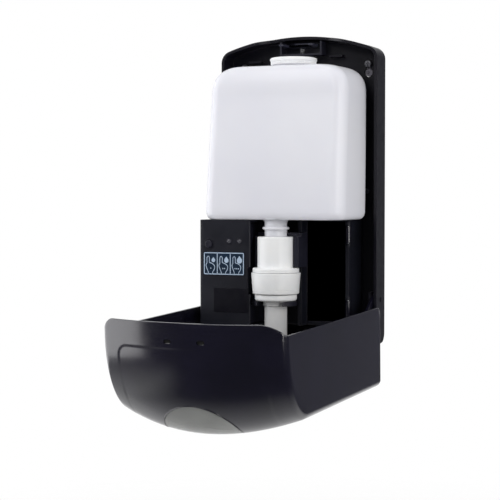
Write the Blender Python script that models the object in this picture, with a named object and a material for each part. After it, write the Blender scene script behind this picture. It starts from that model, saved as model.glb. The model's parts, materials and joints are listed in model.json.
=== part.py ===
"""Wall soap dispenser that works by itself, modelled with its front cover hanging open.

All lengths are in metres. Pieces are laid out in the plate's own terms: x to the right, forward out of
the wall, and height above the plate's lower edge. The origin is on the wall face at mid height.
"""

import math

import bmesh
import bpy
from mathutils import Matrix, Vector

# Clearances and drawing detail.
GAP = 0.0003
RUN = 0.00006
OVERRUN = 0.002
WELD = 0.000001
ROUND_STEPS = 32
SMALL_STEPS = 16
CORNER_STEPS = 4
ARCH_STEPS = 12

# Back plate: a shallow tray with an arched top.
PLATE_WIDTH = 0.138
PLATE_HALF = PLATE_WIDTH / 2
PLATE_HEIGHT = 0.2516
PLATE_DEPTH = 0.0206
PLATE_WALL = 0.0025
PLATE_ARCH_RISE = 0.0131
PLATE_CORNER = 0.010
PLATE_FOOT = 0.002
PLATE_HEEL = 0.009
PLATE_TOP_SETBACK = 0.008
PLATE_NOTCH_MARGIN = 0.004
KEYHOLE_INSET = 0.0136
KEYHOLE_BELOW_TOP = 0.0305
KEYHOLE_X = PLATE_HALF - KEYHOLE_INSET
KEYHOLE_HEIGHT = PLATE_HEIGHT - KEYHOLE_BELOW_TOP
KEYHOLE_RADIUS = 0.00345
KEYHOLE_RISE = 0.007
SHELF_THICKNESS = 0.0018
SHELF_DEPTH = 0.006
SHELF_LENGTH = 0.0117
SHELF_LEFT_X = -0.0437
SHELF_LEFT_BELOW_TOP = 0.0191
SHELF_RIGHT_X = 0.0287
SHELF_RIGHT_BELOW_TOP = 0.0166

# Wall screws.
SCREW_HEAD_RADIUS = 0.0033
SCREW_HEAD_HEIGHT = 0.0018
SCREW_SHANK_RADIUS = 0.0018
SCREW_SLOT_WIDTH = 0.0009
LOWER_SCREW_INSET = 0.0145
LOWER_SCREW_X = PLATE_HALF - LOWER_SCREW_INSET
LOWER_SCREW_HEIGHT = 0.1245
LOWER_HEAD_RADIUS = 0.0022
LOWER_SHANK_RADIUS = 0.0012

# Front cover, drawn shut, and its hinge.
HINGE_FORWARD = 0.0105
HINGE_HEIGHT = 0.0366
COVER_OPEN_ANGLE = math.radians(91.8)
COVER_WALL = 0.0025
COVER_LAP = 0.005
COVER_SIDE_GAP = 0.001
COVER_TOP_GAP = 0.0009
COVER_ABOVE_HINGE = 0.0106
COVER_LOW = HINGE_HEIGHT + COVER_ABOVE_HINGE
COVER_CROWN_DEPTH = 0.0764
COVER_CROWN_DROP = 0.0134
COVER_TOP_FALL = 0.038
COVER_FALL_START = 0.002
COVER_EDGE_RADIUS = 0.004
COVER_LOW_CORNER = 0.006
COVER_LIP = 0.008
COVER_LIP_BLEND = 0.0205
COVER_LIP_POWER = 1.9
COVER_LIP_INSET = 0.0205
COVER_HALF = PLATE_HALF + COVER_SIDE_GAP + COVER_WALL
COVER_LIP_HALF = COVER_HALF - COVER_LIP_INSET
COVER_TOP = PLATE_HEIGHT + COVER_TOP_GAP + COVER_WALL
COVER_RIM = PLATE_DEPTH - COVER_LAP
EAR_THICKNESS = 0.0022
EAR_GAP = 0.0004
EAR_RADIUS = 0.006
EAR_JOG_START = 0.0018
EAR_JOG_DEPTH = 0.008
EAR_JOG_RISE = 0.0154
EAR_JOG_LOW = HINGE_HEIGHT + EAR_JOG_RISE
EAR_JOG_HEIGHT = 0.016
HINGE_PIN_RADIUS = 0.002
HINGE_PIN_REACH = 0.0059
HINGE_LUG_WIDTH = 0.003
HINGE_LUG_SIZE = 0.012
KEY_SLOT_X = 0.013
KEY_SLOT_FORWARD = 0.021
KEY_SLOT_WIDTH = 0.005
KEY_SLOT_DEPTH = 0.0033
WINDOW_HALF = 0.0295
WINDOW_BELOW_TOP = 0.0125
WINDOW_TALL = 0.0925
WINDOW_TOP = COVER_TOP - WINDOW_BELOW_TOP
WINDOW_ARCH = 0.020
WINDOW_LOW = WINDOW_TOP - WINDOW_TALL
WINDOW_CORNER = 0.006

# Latch at the plate's top.
LATCH_HALF = 0.0185
LATCH_CHEEK = 0.0015
LATCH_BELOW_TOP = 0.0156
LATCH_LOW = PLATE_HEIGHT - LATCH_BELOW_TOP
LATCH_HEIGHT = 0.0115
LATCH_DEPTH = 0.011
LATCH_BAR_RISE = 0.007
LATCH_BAR_LOW = LATCH_LOW + LATCH_BAR_RISE
LATCH_BAR_HEIGHT = 0.002
LATCH_BAR_BACK = 0.005
LATCH_BAR_DEPTH = 0.008
LATCH_TOOTH_HALF = 0.006
LATCH_TOOTH_HEIGHT = 0.001
LATCH_TONGUE_WIDTH = 0.004
LATCH_TONGUE_REACH = 0.0245
LATCH_SPRING_RADIUS = 0.002
LATCH_SPRING_WIRE = 0.00025
LATCH_SPRING_TURNS = 3
STRIKE_HALF = 0.006
STRIKE_BACK = 0.0135
STRIKE_STEM = 0.0035
STRIKE_NOSE = 0.0025
STRIKE_NOSE_HEIGHT = 0.0025

# Cells.
CELL_RADIUS = 0.0071
CELL_LENGTH = 0.0490
CELL_NUB_RADIUS = 0.0026
CELL_NUB_HEIGHT = 0.0012
CELL_GAP_X = 0.0014
CELL_PITCH_X = CELL_RADIUS * 2 + CELL_GAP_X
CELL_GAP_FORWARD = 0.0004
CELL_PITCH_FORWARD = CELL_RADIUS * 2 + CELL_GAP_FORWARD
CELL_BEHIND = 0.0005
CELL_FIRST_FORWARD = PLATE_WALL + CELL_BEHIND + CELL_RADIUS
DOOR_THICKNESS = 0.002

# Mechanism housing: a deep wing on the left and a shallow body behind the pump.
WING_INSET = 0.0065
WING_LEFT = WING_INSET - PLATE_HALF
WING_RIGHT = -0.0183
WING_FRONT = 0.075
BODY_INSET = 0.0185
BODY_RIGHT = PLATE_HALF - BODY_INSET
CELL_BEFORE = 0.0002
BODY_FRONT = CELL_FIRST_FORWARD + CELL_PITCH_FORWARD + CELL_RADIUS + CELL_BEFORE + DOOR_THICKNESS
HOUSING_LOW = 0.016
HOUSING_TOP = 0.1015
BOTTLE_LOW = HOUSING_TOP + GAP
HOUSING_WALL = 0.002
HOUSING_EDGE = 0.0012
GUIDE_LEFT = 0.0107
GUIDE_WIDTH = 0.0035
GUIDE_RIGHT = GUIDE_LEFT + GUIDE_WIDTH
GUIDE_REACH = 0.012
GUIDE_FRONT = BODY_FRONT + GUIDE_REACH
NOTCH_DEPTH = 0.0023
NOTCH_GAP = 0.0005
DRIVE_COVER_SINK = 0.0026
DRIVE_COVER_THICKNESS = 0.0017
HOUSING_SCREW_X = 0.035
HOUSING_TAB_HALF = 0.006
HOUSING_TAB_HEIGHT = 0.010
HOUSING_TAB_DEPTH = 0.0022
HOUSING_SCREW_RADIUS = 0.0026
HOUSING_SCREW_HEAD = 0.0015
HOUSING_SHANK_RADIUS = 0.0014

# Front face of the wing.
LABEL_INSET = 0.0035
LABEL_MARGIN = 0.0047
LABEL_BELOW_TOP = 0.0259
LABEL_TALL = 0.0184
LABEL_LEFT = WING_LEFT + LABEL_INSET
LABEL_RIGHT = WING_RIGHT - LABEL_MARGIN
LABEL_HIGH = HOUSING_TOP - LABEL_BELOW_TOP
LABEL_LOW = LABEL_HIGH - LABEL_TALL
LABEL_THICKNESS = 0.0003
LABEL_GAP = 0.0001
LABEL_CORNER = 0.001
SERVICE_INSET = 0.0125
SERVICE_MARGIN = 0.0012
SERVICE_BELOW_LABEL = 0.0104
SERVICE_TALL = 0.0193
SERVICE_LEFT = WING_LEFT + SERVICE_INSET
SERVICE_RIGHT = WING_RIGHT - SERVICE_MARGIN
SERVICE_HIGH = LABEL_LOW - SERVICE_BELOW_LABEL
SERVICE_LOW = SERVICE_HIGH - SERVICE_TALL
LIGHT_INSET = 0.0091
LIGHT_PITCH = 0.0092
LIGHT_ABOVE_LABEL = 0.0089
LIGHT_X = (WING_RIGHT - LIGHT_INSET - LIGHT_PITCH, WING_RIGHT - LIGHT_INSET)
LIGHT_HEIGHT = LABEL_HIGH + LIGHT_ABOVE_LABEL
LIGHT_RADIUS = 0.0016
LIGHT_STAND = 0.0005
BUTTON_INSET = 0.0082
BUTTON_ABOVE_LABEL = 0.0064
BUTTON_X = WING_LEFT + BUTTON_INSET
BUTTON_HEIGHT = LABEL_HIGH + BUTTON_ABOVE_LABEL
BUTTON_RADIUS = 0.00325
BUTTON_STAND = 0.0012
BUTTON_FLANGE = 0.0007
BUTTON_FLANGE_THICKNESS = 0.0007
BUTTON_TRAVEL = 0.0008

# Circuit board and sensor.
BOARD_INSET = 0.0035
BOARD_MARGIN = 0.0057
BOARD_ABOVE_LABEL = 0.0009
BOARD_BELOW_TOP = 0.0045
BOARD_LEFT = WING_LEFT + BOARD_INSET
BOARD_RIGHT = WING_RIGHT - BOARD_MARGIN
BOARD_LOW = LABEL_HIGH + BOARD_ABOVE_LABEL
BOARD_HIGH = HOUSING_TOP - BOARD_BELOW_TOP
BOARD_THICKNESS = 0.0012
BOARD_BEHIND_WALL = 0.003
SWITCH_HALF = 0.0028
SENSOR_INSET = 0.0145
SENSOR_X = WING_LEFT + SENSOR_INSET
SENSOR_HALF = 0.005
SENSOR_FORWARD = 0.052
SENSOR_HALF_LENGTH = 0.012
SENSOR_PITCH = 0.014
EYE_RADIUS = 0.0025
EYE_HEIGHT = 0.006

# Pump, on one upright axis.
PUMP_FORWARD = 0.065
PUMP_STROKE = 0.0055
NECK_RADIUS = 0.00895
NECK_WALL = 0.00115
NECK_BORE = NECK_RADIUS - NECK_WALL
NECK_DROP = 0.0338
NECK_LOW = BOTTLE_LOW - NECK_DROP
BEAD_STAND = 0.00185
BEAD_RADIUS = NECK_RADIUS + BEAD_STAND
BEAD_DROP = 0.0068
BEAD_HEIGHT = BOTTLE_LOW - BEAD_DROP
BEAD_THICKNESS = 0.0028
COLLAR_STAND = 0.0058
COLLAR_RADIUS = NECK_RADIUS + COLLAR_STAND
COLLAR_BELOW_BEAD = 0.0067
COLLAR_TALL = 0.0247
COLLAR_HIGH = BEAD_HEIGHT - COLLAR_BELOW_BEAD
COLLAR_LOW = COLLAR_HIGH - COLLAR_TALL
SHOULDER_STAND = 0.00385
SHOULDER_TALL = 0.0037
SHOULDER_RADIUS = COLLAR_RADIUS + SHOULDER_STAND
SHOULDER_LOW = COLLAR_LOW - SHOULDER_TALL
CUP_STAND = 0.0011
CUP_TAPER = 0.00125
CUP_TALL = 0.0171
CUP_RADIUS = SHOULDER_RADIUS + CUP_STAND
CUP_LOW_RADIUS = CUP_RADIUS - CUP_TAPER
CUP_LOW = SHOULDER_LOW - CUP_TALL
CUP_WALL = 0.0011
CUP_CEILING = 0.0022
CHAMBER_PLAY = 0.0004
CHAMBER_WALL = 0.0018
CHAMBER_BELOW_COLLAR_TOP = 0.0041
CHAMBER_RADIUS = NECK_BORE - CHAMBER_PLAY
CHAMBER_BORE = CHAMBER_RADIUS - CHAMBER_WALL
CHAMBER_HIGH = COLLAR_HIGH - CHAMBER_BELOW_COLLAR_TOP
CHAMBER_INLET = 0.0015
VALVE_BALL_RADIUS = 0.0023
RING_INSET = 0.00165
RING_BELOW_CUP = 0.0004
RING_TALL = 0.0051
RING_RADIUS = CUP_LOW_RADIUS - RING_INSET
RING_HIGH = CUP_LOW - RING_BELOW_CUP
RING_LOW = RING_HIGH - RING_TALL
STEM_RADIUS = 0.004
STEM_BORE = 0.002
PISTON_ABOVE_CUP = 0.0252
PISTON_RADIUS = CHAMBER_BORE - GAP
PISTON_HIGH = CUP_LOW + PISTON_ABOVE_CUP
PISTON_THICKNESS = 0.004
PUMP_SPRING_RADIUS = 0.0062
PUMP_SPRING_WIRE = 0.0004
PUMP_SPRING_TURNS = 5
TUBE_RADIUS = 0.009
TUBE_WALL = 0.0018
TUBE_BORE = TUBE_RADIUS - TUBE_WALL
SLEEVE_STAND = 0.0012
SLEEVE_DROP = 0.0041
SLEEVE_RADIUS = TUBE_RADIUS + SLEEVE_STAND
SLEEVE_LOW = RING_LOW - SLEEVE_DROP
TUBE_LOW = 0.004
OUTLET_THICKNESS = 0.003
OUTLET_BORE = 0.0022

# Gear train: module sizes, tooth counts and where each wheel lies along x.
FINE_MODULE = 0.0005
MID_MODULE = 0.0006
RACK_MODULE = 0.0008
MOTOR_TEETH = 10
IDLER_TEETH = 36
IDLER_PINION_TEETH = 12
OUTPUT_TEETH = 40
OUTPUT_PINION_TEETH = 14
TOOTH_BACKLASH_SHARE = 0.16
TOOTH_TIP_SHARE = 0.55
TOOTH_HEIGHT_SHARE = 0.7
TOOTH_ROOT_SHARE = 1.15
WHEEL_WIDTH = 0.0035
RACK_WIDTH = 0.0043
WHEEL_GAP = 0.0005
RACK_SETBACK = 0.015
RACK_PITCH_FORWARD = WING_FRONT - RACK_SETBACK
CARRIAGE_DROP = 0.0037
CARRIAGE_LOW = RING_LOW - CARRIAGE_DROP
OUTPUT_ABOVE_FORK = 0.0114
OUTPUT_HEIGHT = CARRIAGE_LOW + OUTPUT_ABOVE_FORK
OUTPUT_TO_IDLER = math.radians(135)
IDLER_TO_MOTOR = math.radians(120)
IDLER_SHAFT_RADIUS = 0.00125
OUTPUT_SHAFT_RADIUS = 0.0015
MOTOR_SHAFT_RADIUS = 0.001
MOTOR_RADIUS = 0.010
MOTOR_LENGTH = 0.0208
MOTOR_BOSS_RADIUS = 0.003
GEAR_PLATE_THICKNESS = 0.0016
GEAR_PLATE_BACK = 0.020
GEAR_PLATE_SETBACK = 0.0067
GEAR_PLATE_FRONT = WING_FRONT - GEAR_PLATE_SETBACK

# Carriage that lifts the pump.
CARRIAGE_DEPTH = 0.009
CARRIAGE_TALL = 0.0324
CARRIAGE_FRONT = RACK_PITCH_FORWARD + CARRIAGE_DEPTH
CARRIAGE_HIGH = CARRIAGE_LOW + CARRIAGE_TALL
FORK_THICKNESS = 0.0033
FORK_SLOT_PLAY = 0.0008
FORK_WIDTH = 0.006
FORK_SLOT_RADIUS = SLEEVE_RADIUS + FORK_SLOT_PLAY
FORK_RADIUS = FORK_SLOT_RADIUS + FORK_WIDTH
ARM_BACK = RACK_PITCH_FORWARD + RACK_MODULE * TOOTH_ROOT_SHARE
ARM_FRONT = CARRIAGE_FRONT
GUIDE_ROD_RADIUS = 0.0012
GUIDE_ROD_SETBACK = 0.0028
GUIDE_ROD_FORWARD = CARRIAGE_FRONT - GUIDE_ROD_SETBACK

# Cradle that the pump's collar slides into.
CRADLE_PLAY = 0.00045
CRADLE_WALL = 0.0046
CRADLE_REACH = 0.001
CRADLE_LIFT = 0.0004
CRADLE_BORE = COLLAR_RADIUS + CRADLE_PLAY
CRADLE_RIGHT = CRADLE_BORE + CRADLE_WALL
CRADLE_FRONT = PUMP_FORWARD + CRADLE_REACH
CRADLE_LOW = COLLAR_LOW + CRADLE_LIFT
CRADLE_BACK = GUIDE_FRONT + GAP
CRADLE_WEB_HALF = 0.008
YOKE_THICKNESS = 0.003
YOKE_SETBACK = 0.005
YOKE_FRONT = PUMP_FORWARD - YOKE_SETBACK
YOKE_PLAY = 0.00065
YOKE_BORE = NECK_RADIUS + YOKE_PLAY

# Battery bay and door.
CONTACT_THICKNESS = 0.0006
CONTACT_SPRING_RADIUS = 0.0035
CONTACT_SPRING_WIRE = 0.0003
CONTACT_SPRING_TURNS = 3
DOOR_LEDGE = 0.0008
DOOR_MARGIN_LOW = 0.004
DOOR_MARGIN_HIGH = 0.002
DOOR_LEFT = GUIDE_RIGHT + DOOR_LEDGE
DOOR_LOW = HOUSING_LOW + DOOR_MARGIN_LOW
DOOR_HIGH = HOUSING_TOP - DOOR_MARGIN_HIGH
BAY_MARGIN = 0.0012
BAY_SIDE_PLAY = 0.0007
BAY_RIGHT_PLAY = 0.0005
BAY_RISE = 0.011
SPRING_SPACE = 0.0065
NUB_SPACE = 0.0045
BAY_LEFT = DOOR_LEFT + BAY_MARGIN
BAY_LOW = HOUSING_LOW + BAY_RISE
CELL_LOW = BAY_LOW + SPRING_SPACE
BAY_HIGH = CELL_LOW + CELL_LENGTH + NUB_SPACE
CELL_FIRST_X = BAY_LEFT + CELL_RADIUS + BAY_SIDE_PLAY
BAY_RIGHT = CELL_FIRST_X + CELL_PITCH_X + CELL_RADIUS + BAY_RIGHT_PLAY
DOOR_HINGE_INSET = 0.0011
DOOR_HINGE_X = BODY_RIGHT - DOOR_HINGE_INSET
DOOR_HINGE_FORWARD = BODY_FRONT - DOOR_THICKNESS / 2
DOOR_KNUCKLE_RADIUS = 0.002
DOOR_PIN_RADIUS = 0.0009
KNUCKLE_LENGTH = 0.013
KNUCKLE_INSET = 0.0035
LUG_LENGTH = 0.003

# Bottle, neck down.
BOTTLE_WALL = 0.0015
BOTTLE_CORNER = 0.011
BOTTLE_BELOW_TOP = 0.0271
BOTTLE_HIGH = PLATE_HEIGHT - BOTTLE_BELOW_TOP
# Rise above the base, half width, front and back of each level outline, then drop below the top.
BOTTLE_FOOT = (
    (0.0000, 0.0560, 0.0749, 0.0175),
    (0.0008, 0.0583, 0.0760, 0.0155),
    (0.0027, 0.0595, 0.0767, 0.0143),
    (0.0062, 0.0600, 0.0770, 0.0138),
    (0.0482, 0.0597, 0.0735, 0.0118),
)
BOTTLE_SHOULDER = (
    (0.0245, 0.0590, 0.0680, 0.0094),
    (0.0165, 0.0583, 0.0672, 0.0090),
    (0.0100, 0.0563, 0.0666, 0.0088),
    (0.0055, 0.0530, 0.0660, 0.0088),
    (0.0023, 0.0475, 0.0645, 0.0090),
    (0.0000, 0.0380, 0.0585, 0.0095),
)
FILLER_FORWARD = 0.0287
FILLER_RADIUS = 0.0169
FILLER_WALL = 0.0017
FILLER_BORE = FILLER_RADIUS - FILLER_WALL
FILLER_RISE = 0.0060
FILLER_HIGH = BOTTLE_HIGH + FILLER_RISE
CAP_STAND = 0.00235
CAP_RADIUS = FILLER_RADIUS + CAP_STAND
CAP_ABOVE_BOTTLE = 0.0024
CAP_TALL = 0.0058
CAP_LOW = BOTTLE_HIGH + CAP_ABOVE_BOTTLE
CAP_HIGH = CAP_LOW + CAP_TALL
CAP_WALL = 0.0014
CAP_BEAD = 0.0006
SEAL_THICKNESS = 0.0008

ARCH_DEPTH_SHARE = PLATE_ARCH_RISE / PLATE_HALF ** 2

LOOKS = {
    "black_gloss": ((0.010, 0.010, 0.014), 0.18, 0.0),
    "black_satin": ((0.022, 0.022, 0.026), 0.42, 0.0),
    "smoke": ((0.060, 0.065, 0.075), 0.12, 0.0),
    "dark_grey": ((0.070, 0.072, 0.078), 0.50, 0.0),
    "grey_housing": ((0.150, 0.155, 0.165), 0.48, 0.0),
    "label": ((0.012, 0.045, 0.070), 0.35, 0.0),
    "white_plastic": ((0.780, 0.790, 0.790), 0.38, 0.0),
    "milky": ((0.720, 0.760, 0.780), 0.45, 0.0),
    "clear_light": ((0.700, 0.720, 0.700), 0.20, 0.0),
    "board": ((0.020, 0.120, 0.050), 0.50, 0.0),
    "lens": ((0.020, 0.010, 0.020), 0.15, 0.0),
    "steel": ((0.560, 0.570, 0.580), 0.28, 1.0),
    "acetal": ((0.740, 0.730, 0.690), 0.42, 0.0),
    "cell": ((0.110, 0.120, 0.130), 0.35, 0.0),
    "rubber": ((0.035, 0.035, 0.035), 0.80, 0.0),
}


def look(name):
    """The material of that name, made once."""
    found = bpy.data.materials.get(name)
    if found is not None:
        return found
    colour, roughness, metallic = LOOKS[name]
    made = bpy.data.materials.new(name)
    made.use_nodes = True
    shader = made.node_tree.nodes["Principled BSDF"]
    shader.inputs["Base Color"].default_value = (*colour, 1.0)
    shader.inputs["Roughness"].default_value = roughness
    shader.inputs["Metallic"].default_value = metallic
    return made


class Group:
    """An empty on a joint's axis. Its pieces are drawn in the plate's terms and hang from it."""

    def __init__(self, name, place=Vector(), parent=None, turn=0.0):
        """Place is in the plate's terms; turn is about x."""
        self.place = place
        self.empty = bpy.data.objects.new(name, None)
        bpy.context.scene.collection.objects.link(self.empty)
        if parent is None:
            self.empty.location = place
        else:
            self.empty.parent = parent.empty
            self.empty.location = place - parent.place
        self.empty.rotation_euler = (turn, 0.0, 0.0)

    def add(self, name, bm, look_name):
        """A piece with this mesh, hung from the group."""
        mesh = bpy.data.meshes.new(name)
        bm.to_mesh(mesh)
        bm.free()
        mesh.shade_smooth()
        mesh.set_sharp_from_angle(angle=math.radians(32))
        mesh.materials.append(look(look_name))
        made = bpy.data.objects.new(name, mesh)
        bpy.context.scene.collection.objects.link(made)
        made.parent = self.empty
        made.location = -self.place
        return made


def at(x, forward, height):
    """A point from the plate's terms."""
    return Vector((x, -forward, height))


def tool(target, bm, operation):
    """Puts a Boolean of this mesh on the target."""
    mesh = bpy.data.meshes.new(f"{target.name}_tool")
    bm.to_mesh(mesh)
    bm.free()
    made = bpy.data.objects.new(f"{target.name}_tool", mesh)
    bpy.context.scene.collection.objects.link(made)
    made.parent = target.parent
    made.location = target.location
    made.hide_render = True
    made.display_type = "WIRE"
    step = target.modifiers.new(operation.lower(), "BOOLEAN")
    step.operation = operation
    step.solver = "EXACT"
    step.object = made


def cut(target, *meshes):
    """Takes each mesh away from the target."""
    for bm in meshes:
        tool(target, bm, "DIFFERENCE")


def join(target, *meshes):
    """Adds each mesh to the target's body."""
    for bm in meshes:
        tool(target, bm, "UNION")


def prism(outline, axis, low, high):
    """A straight prism along x, y or z, from an outline.

    The outline of y is (x, height), that of x (forward, height), and that of z (x, forward).
    """
    bm = bmesh.new()

    def corner(u, v, along):
        if axis == "X":
            return at(along, u, v)
        if axis == "Y":
            return at(u, along, v)
        return at(u, v, along)

    face = bm.faces.new([bm.verts.new(corner(u, v, low)) for u, v in outline])
    grown = bmesh.ops.extrude_face_region(bm, geom=[face])
    moved = [item for item in grown["geom"] if isinstance(item, bmesh.types.BMVert)]
    bmesh.ops.translate(bm, verts=moved, vec=corner(0, 0, high) - corner(0, 0, low))
    bmesh.ops.recalc_face_normals(bm, faces=bm.faces)
    return bm


def box(left, right, back, front, low, high):
    """A block between these limits."""
    bm = bmesh.new()
    size = Vector((right - left, front - back, high - low))
    middle = at((left + right) / 2, (back + front) / 2, (low + high) / 2)
    bmesh.ops.create_cube(bm, size=1.0, matrix=Matrix.Translation(middle) @ Matrix.Diagonal((*size, 1.0)))
    return bm


def circle(u, v, radius, steps=SMALL_STEPS, start=0.0, sweep=math.tau):
    """Points round a circle; a part sweep holds both of its ends."""
    count = steps if abs(sweep) >= math.tau else steps + 1
    angles = [start + sweep * index / steps for index in range(count)]
    return [(u + radius * math.cos(angle), v + radius * math.sin(angle)) for angle in angles]


def rod(axis, u, v, radius, low, high, steps=SMALL_STEPS):
    """A round bar along an axis."""
    return prism(circle(u, v, radius, steps), axis, low, high)


def rounded(corners, radii, steps=CORNER_STEPS):
    """The outline with an arc in place of each corner that has a radius."""
    points = []
    for index, (corner, radius) in enumerate(zip(corners, radii)):
        here = Vector(corner)
        before = (Vector(corners[index - 1]) - here).normalized()
        after = (Vector(corners[(index + 1) % len(corners)]) - here).normalized()
        if radius <= 0:
            points.append((here.x, here.y))
            continue
        half = before.angle(after) / 2
        middle = here + (before + after).normalized() * radius / math.sin(half)
        first = here + before * radius / math.tan(half) - middle
        last = here + after * radius / math.tan(half) - middle
        start = math.atan2(first.y, first.x)
        sweep = (math.atan2(last.y, last.x) - start + math.pi) % math.tau - math.pi
        points.extend(circle(middle.x, middle.y, radius, steps, start, sweep))
    return points


def panel(left, right, low, high, radius, steps=CORNER_STEPS):
    """A rectangle with round corners."""
    corners = [(left, low), (right, low), (right, high), (left, high)]
    return rounded(corners, [radius] * len(corners), steps)


def turned(profile, x, forward, steps=ROUND_STEPS):
    """A solid turned about an upright axis from a profile of (radius, height)."""
    bm = bmesh.new()
    verts = [bm.verts.new((radius, 0, height)) for radius, height in profile]
    pairs = list(zip(verts, verts[1:]))
    if profile[0][0] > 0 or profile[-1][0] > 0:
        pairs.append((verts[-1], verts[0]))
    edges = [bm.edges.new(pair) for pair in pairs]
    bmesh.ops.spin(
        bm, geom=verts + edges, cent=(0, 0, 0), axis=(0, 0, 1), angle=math.tau, steps=steps, use_merge=True
    )
    bmesh.ops.remove_doubles(bm, verts=bm.verts, dist=WELD)
    bmesh.ops.recalc_face_normals(bm, faces=bm.faces)
    bmesh.ops.translate(bm, verts=bm.verts, vec=at(x, forward, 0))
    return bm


def loft(rings):
    """A closed solid through rings of points, with flat ends."""
    bm = bmesh.new()
    rows = [[bm.verts.new(point) for point in ring] for ring in rings]
    for lower, upper in zip(rows, rows[1:]):
        for index in range(len(lower)):
            bm.faces.new((lower[index - 1], lower[index], upper[index], upper[index - 1]))
    bm.faces.new(rows[0])
    bm.faces.new(rows[-1])
    bmesh.ops.recalc_face_normals(bm, faces=bm.faces)
    return bm


def coil(x, forward, low, high, radius, wire, turns, steps=8, sides=5):
    """A spring of round wire, wound upright, whose ends lie flat."""
    bm = bmesh.new()
    rings = []
    count = turns * steps
    climb = high - low - wire * 2
    for index in range(count + 1):
        angle = math.tau * index / steps
        rise = low + wire + climb * index / count
        outward = at(math.cos(angle), math.sin(angle), 0)
        middle = at(x, forward, rise) + outward * radius
        ring = []
        for side in range(sides):
            around = math.tau * side / sides
            ring.append(middle + outward * wire * math.cos(around) + at(0, 0, wire * math.sin(around)))
        rings.append(ring)
    bm.free()
    return loft(rings)


def arched(half, low, top, corner, foot):
    """Front outline with an arched top."""
    rise = ARCH_DEPTH_SHARE * half ** 2
    points = [(-half, low), (half, low), (half, top - rise)]
    radii = [foot, foot, corner]
    for index in range(1, ARCH_STEPS):
        x = half * (1 - 2 * index / ARCH_STEPS)
        points.append((x, top - ARCH_DEPTH_SHARE * x ** 2))
        radii.append(0)
    points.append((-half, top - rise))
    radii.append(corner)
    return rounded(points, radii)


def gear(teeth, module, x_low, x_high, forward, height, aim):
    """A wheel along x with a tooth centred on the angle aim, measured from forward towards up."""
    pitch = module * teeth / 2
    tip = pitch + module * TOOTH_HEIGHT_SHARE
    root = pitch - module * TOOTH_ROOT_SHARE
    half = math.pi / teeth / 2 * (1 - TOOTH_BACKLASH_SHARE)
    points = []
    for index in range(teeth):
        middle = aim + math.tau * index / teeth
        for radius, share in (
            (root, -1.35),
            (pitch, -1.0),
            (tip, -TOOTH_TIP_SHARE),
            (tip, TOOTH_TIP_SHARE),
            (pitch, 1.0),
            (root, 1.35),
        ):
            angle = middle + half * share
            points.append((forward + radius * math.cos(angle), height + radius * math.sin(angle)))
    return prism(points, "X", x_low, x_high)


def cover_solid(inset, back, low):
    """The cover's form, drawn in by an inset: crowned front, arched top, and the fall between them."""
    half = COVER_HALF - inset
    edge = max(COVER_EDGE_RADIUS - inset, GAP)
    columns = []
    for index in range(CORNER_STEPS + 1):
        angle = math.pi / 2 * index / CORNER_STEPS
        columns.append((-half + edge * (1 - math.cos(angle)), edge * (1 - math.sin(angle))))
    flat = half - edge
    columns += [(-flat + 2 * flat * index / ARCH_STEPS, 0.0) for index in range(1, ARCH_STEPS)]
    columns += [(-x, drop) for x, drop in reversed(columns[:CORNER_STEPS + 1])]
    bm = bmesh.new()
    grid = []
    for x, drop in columns:
        top = COVER_TOP - ARCH_DEPTH_SHARE * x ** 2
        depth = COVER_CROWN_DEPTH - COVER_CROWN_DROP * (x / COVER_HALF) ** 2
        reach = depth - COVER_FALL_START
        points = [(back, top - inset - drop)]
        for index in range(ARCH_STEPS + 1):
            angle = math.pi / 2 * (1 - index / ARCH_STEPS)
            away = COVER_FALL_START + (reach - inset - drop) * math.cos(angle)
            rise = top - COVER_TOP_FALL + (COVER_TOP_FALL - inset - drop) * math.sin(angle)
            points.append((COVER_RIM + away, rise))
        points.append((COVER_RIM + depth - inset - drop, low))
        grid.append([bm.verts.new(at(x, forward, height)) for forward, height in points])
    for left, right in zip(grid, grid[1:]):
        for index in range(len(left) - 1):
            bm.faces.new((left[index], left[index + 1], right[index + 1], right[index]))
    foot_left = bm.verts.new(at(-half, back, low))
    foot_right = bm.verts.new(at(half, back, low))
    bm.faces.new(grid[0] + [foot_left])
    bm.faces.new(grid[-1] + [foot_right])
    bm.faces.new([column[0] for column in grid] + [foot_right, foot_left])
    bm.faces.new([column[-1] for column in grid] + [foot_right, foot_left])
    bmesh.ops.recalc_face_normals(bm, faces=bm.faces)
    return bm


def window_outline(shrink):
    """The level window's front outline, with an arched top."""
    half = WINDOW_HALF - shrink
    low = WINDOW_LOW + shrink
    spring = WINDOW_TOP - WINDOW_ARCH
    points = rounded(
        [(-half, spring), (-half, low), (half, low), (half, spring)], [0, WINDOW_CORNER, WINDOW_CORNER, 0]
    )
    for index in range(1, ARCH_STEPS):
        angle = math.pi * index / ARCH_STEPS
        points.append((half * math.cos(angle), spring + (WINDOW_ARCH - shrink) * math.sin(angle) ** 0.8))
    return points


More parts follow.
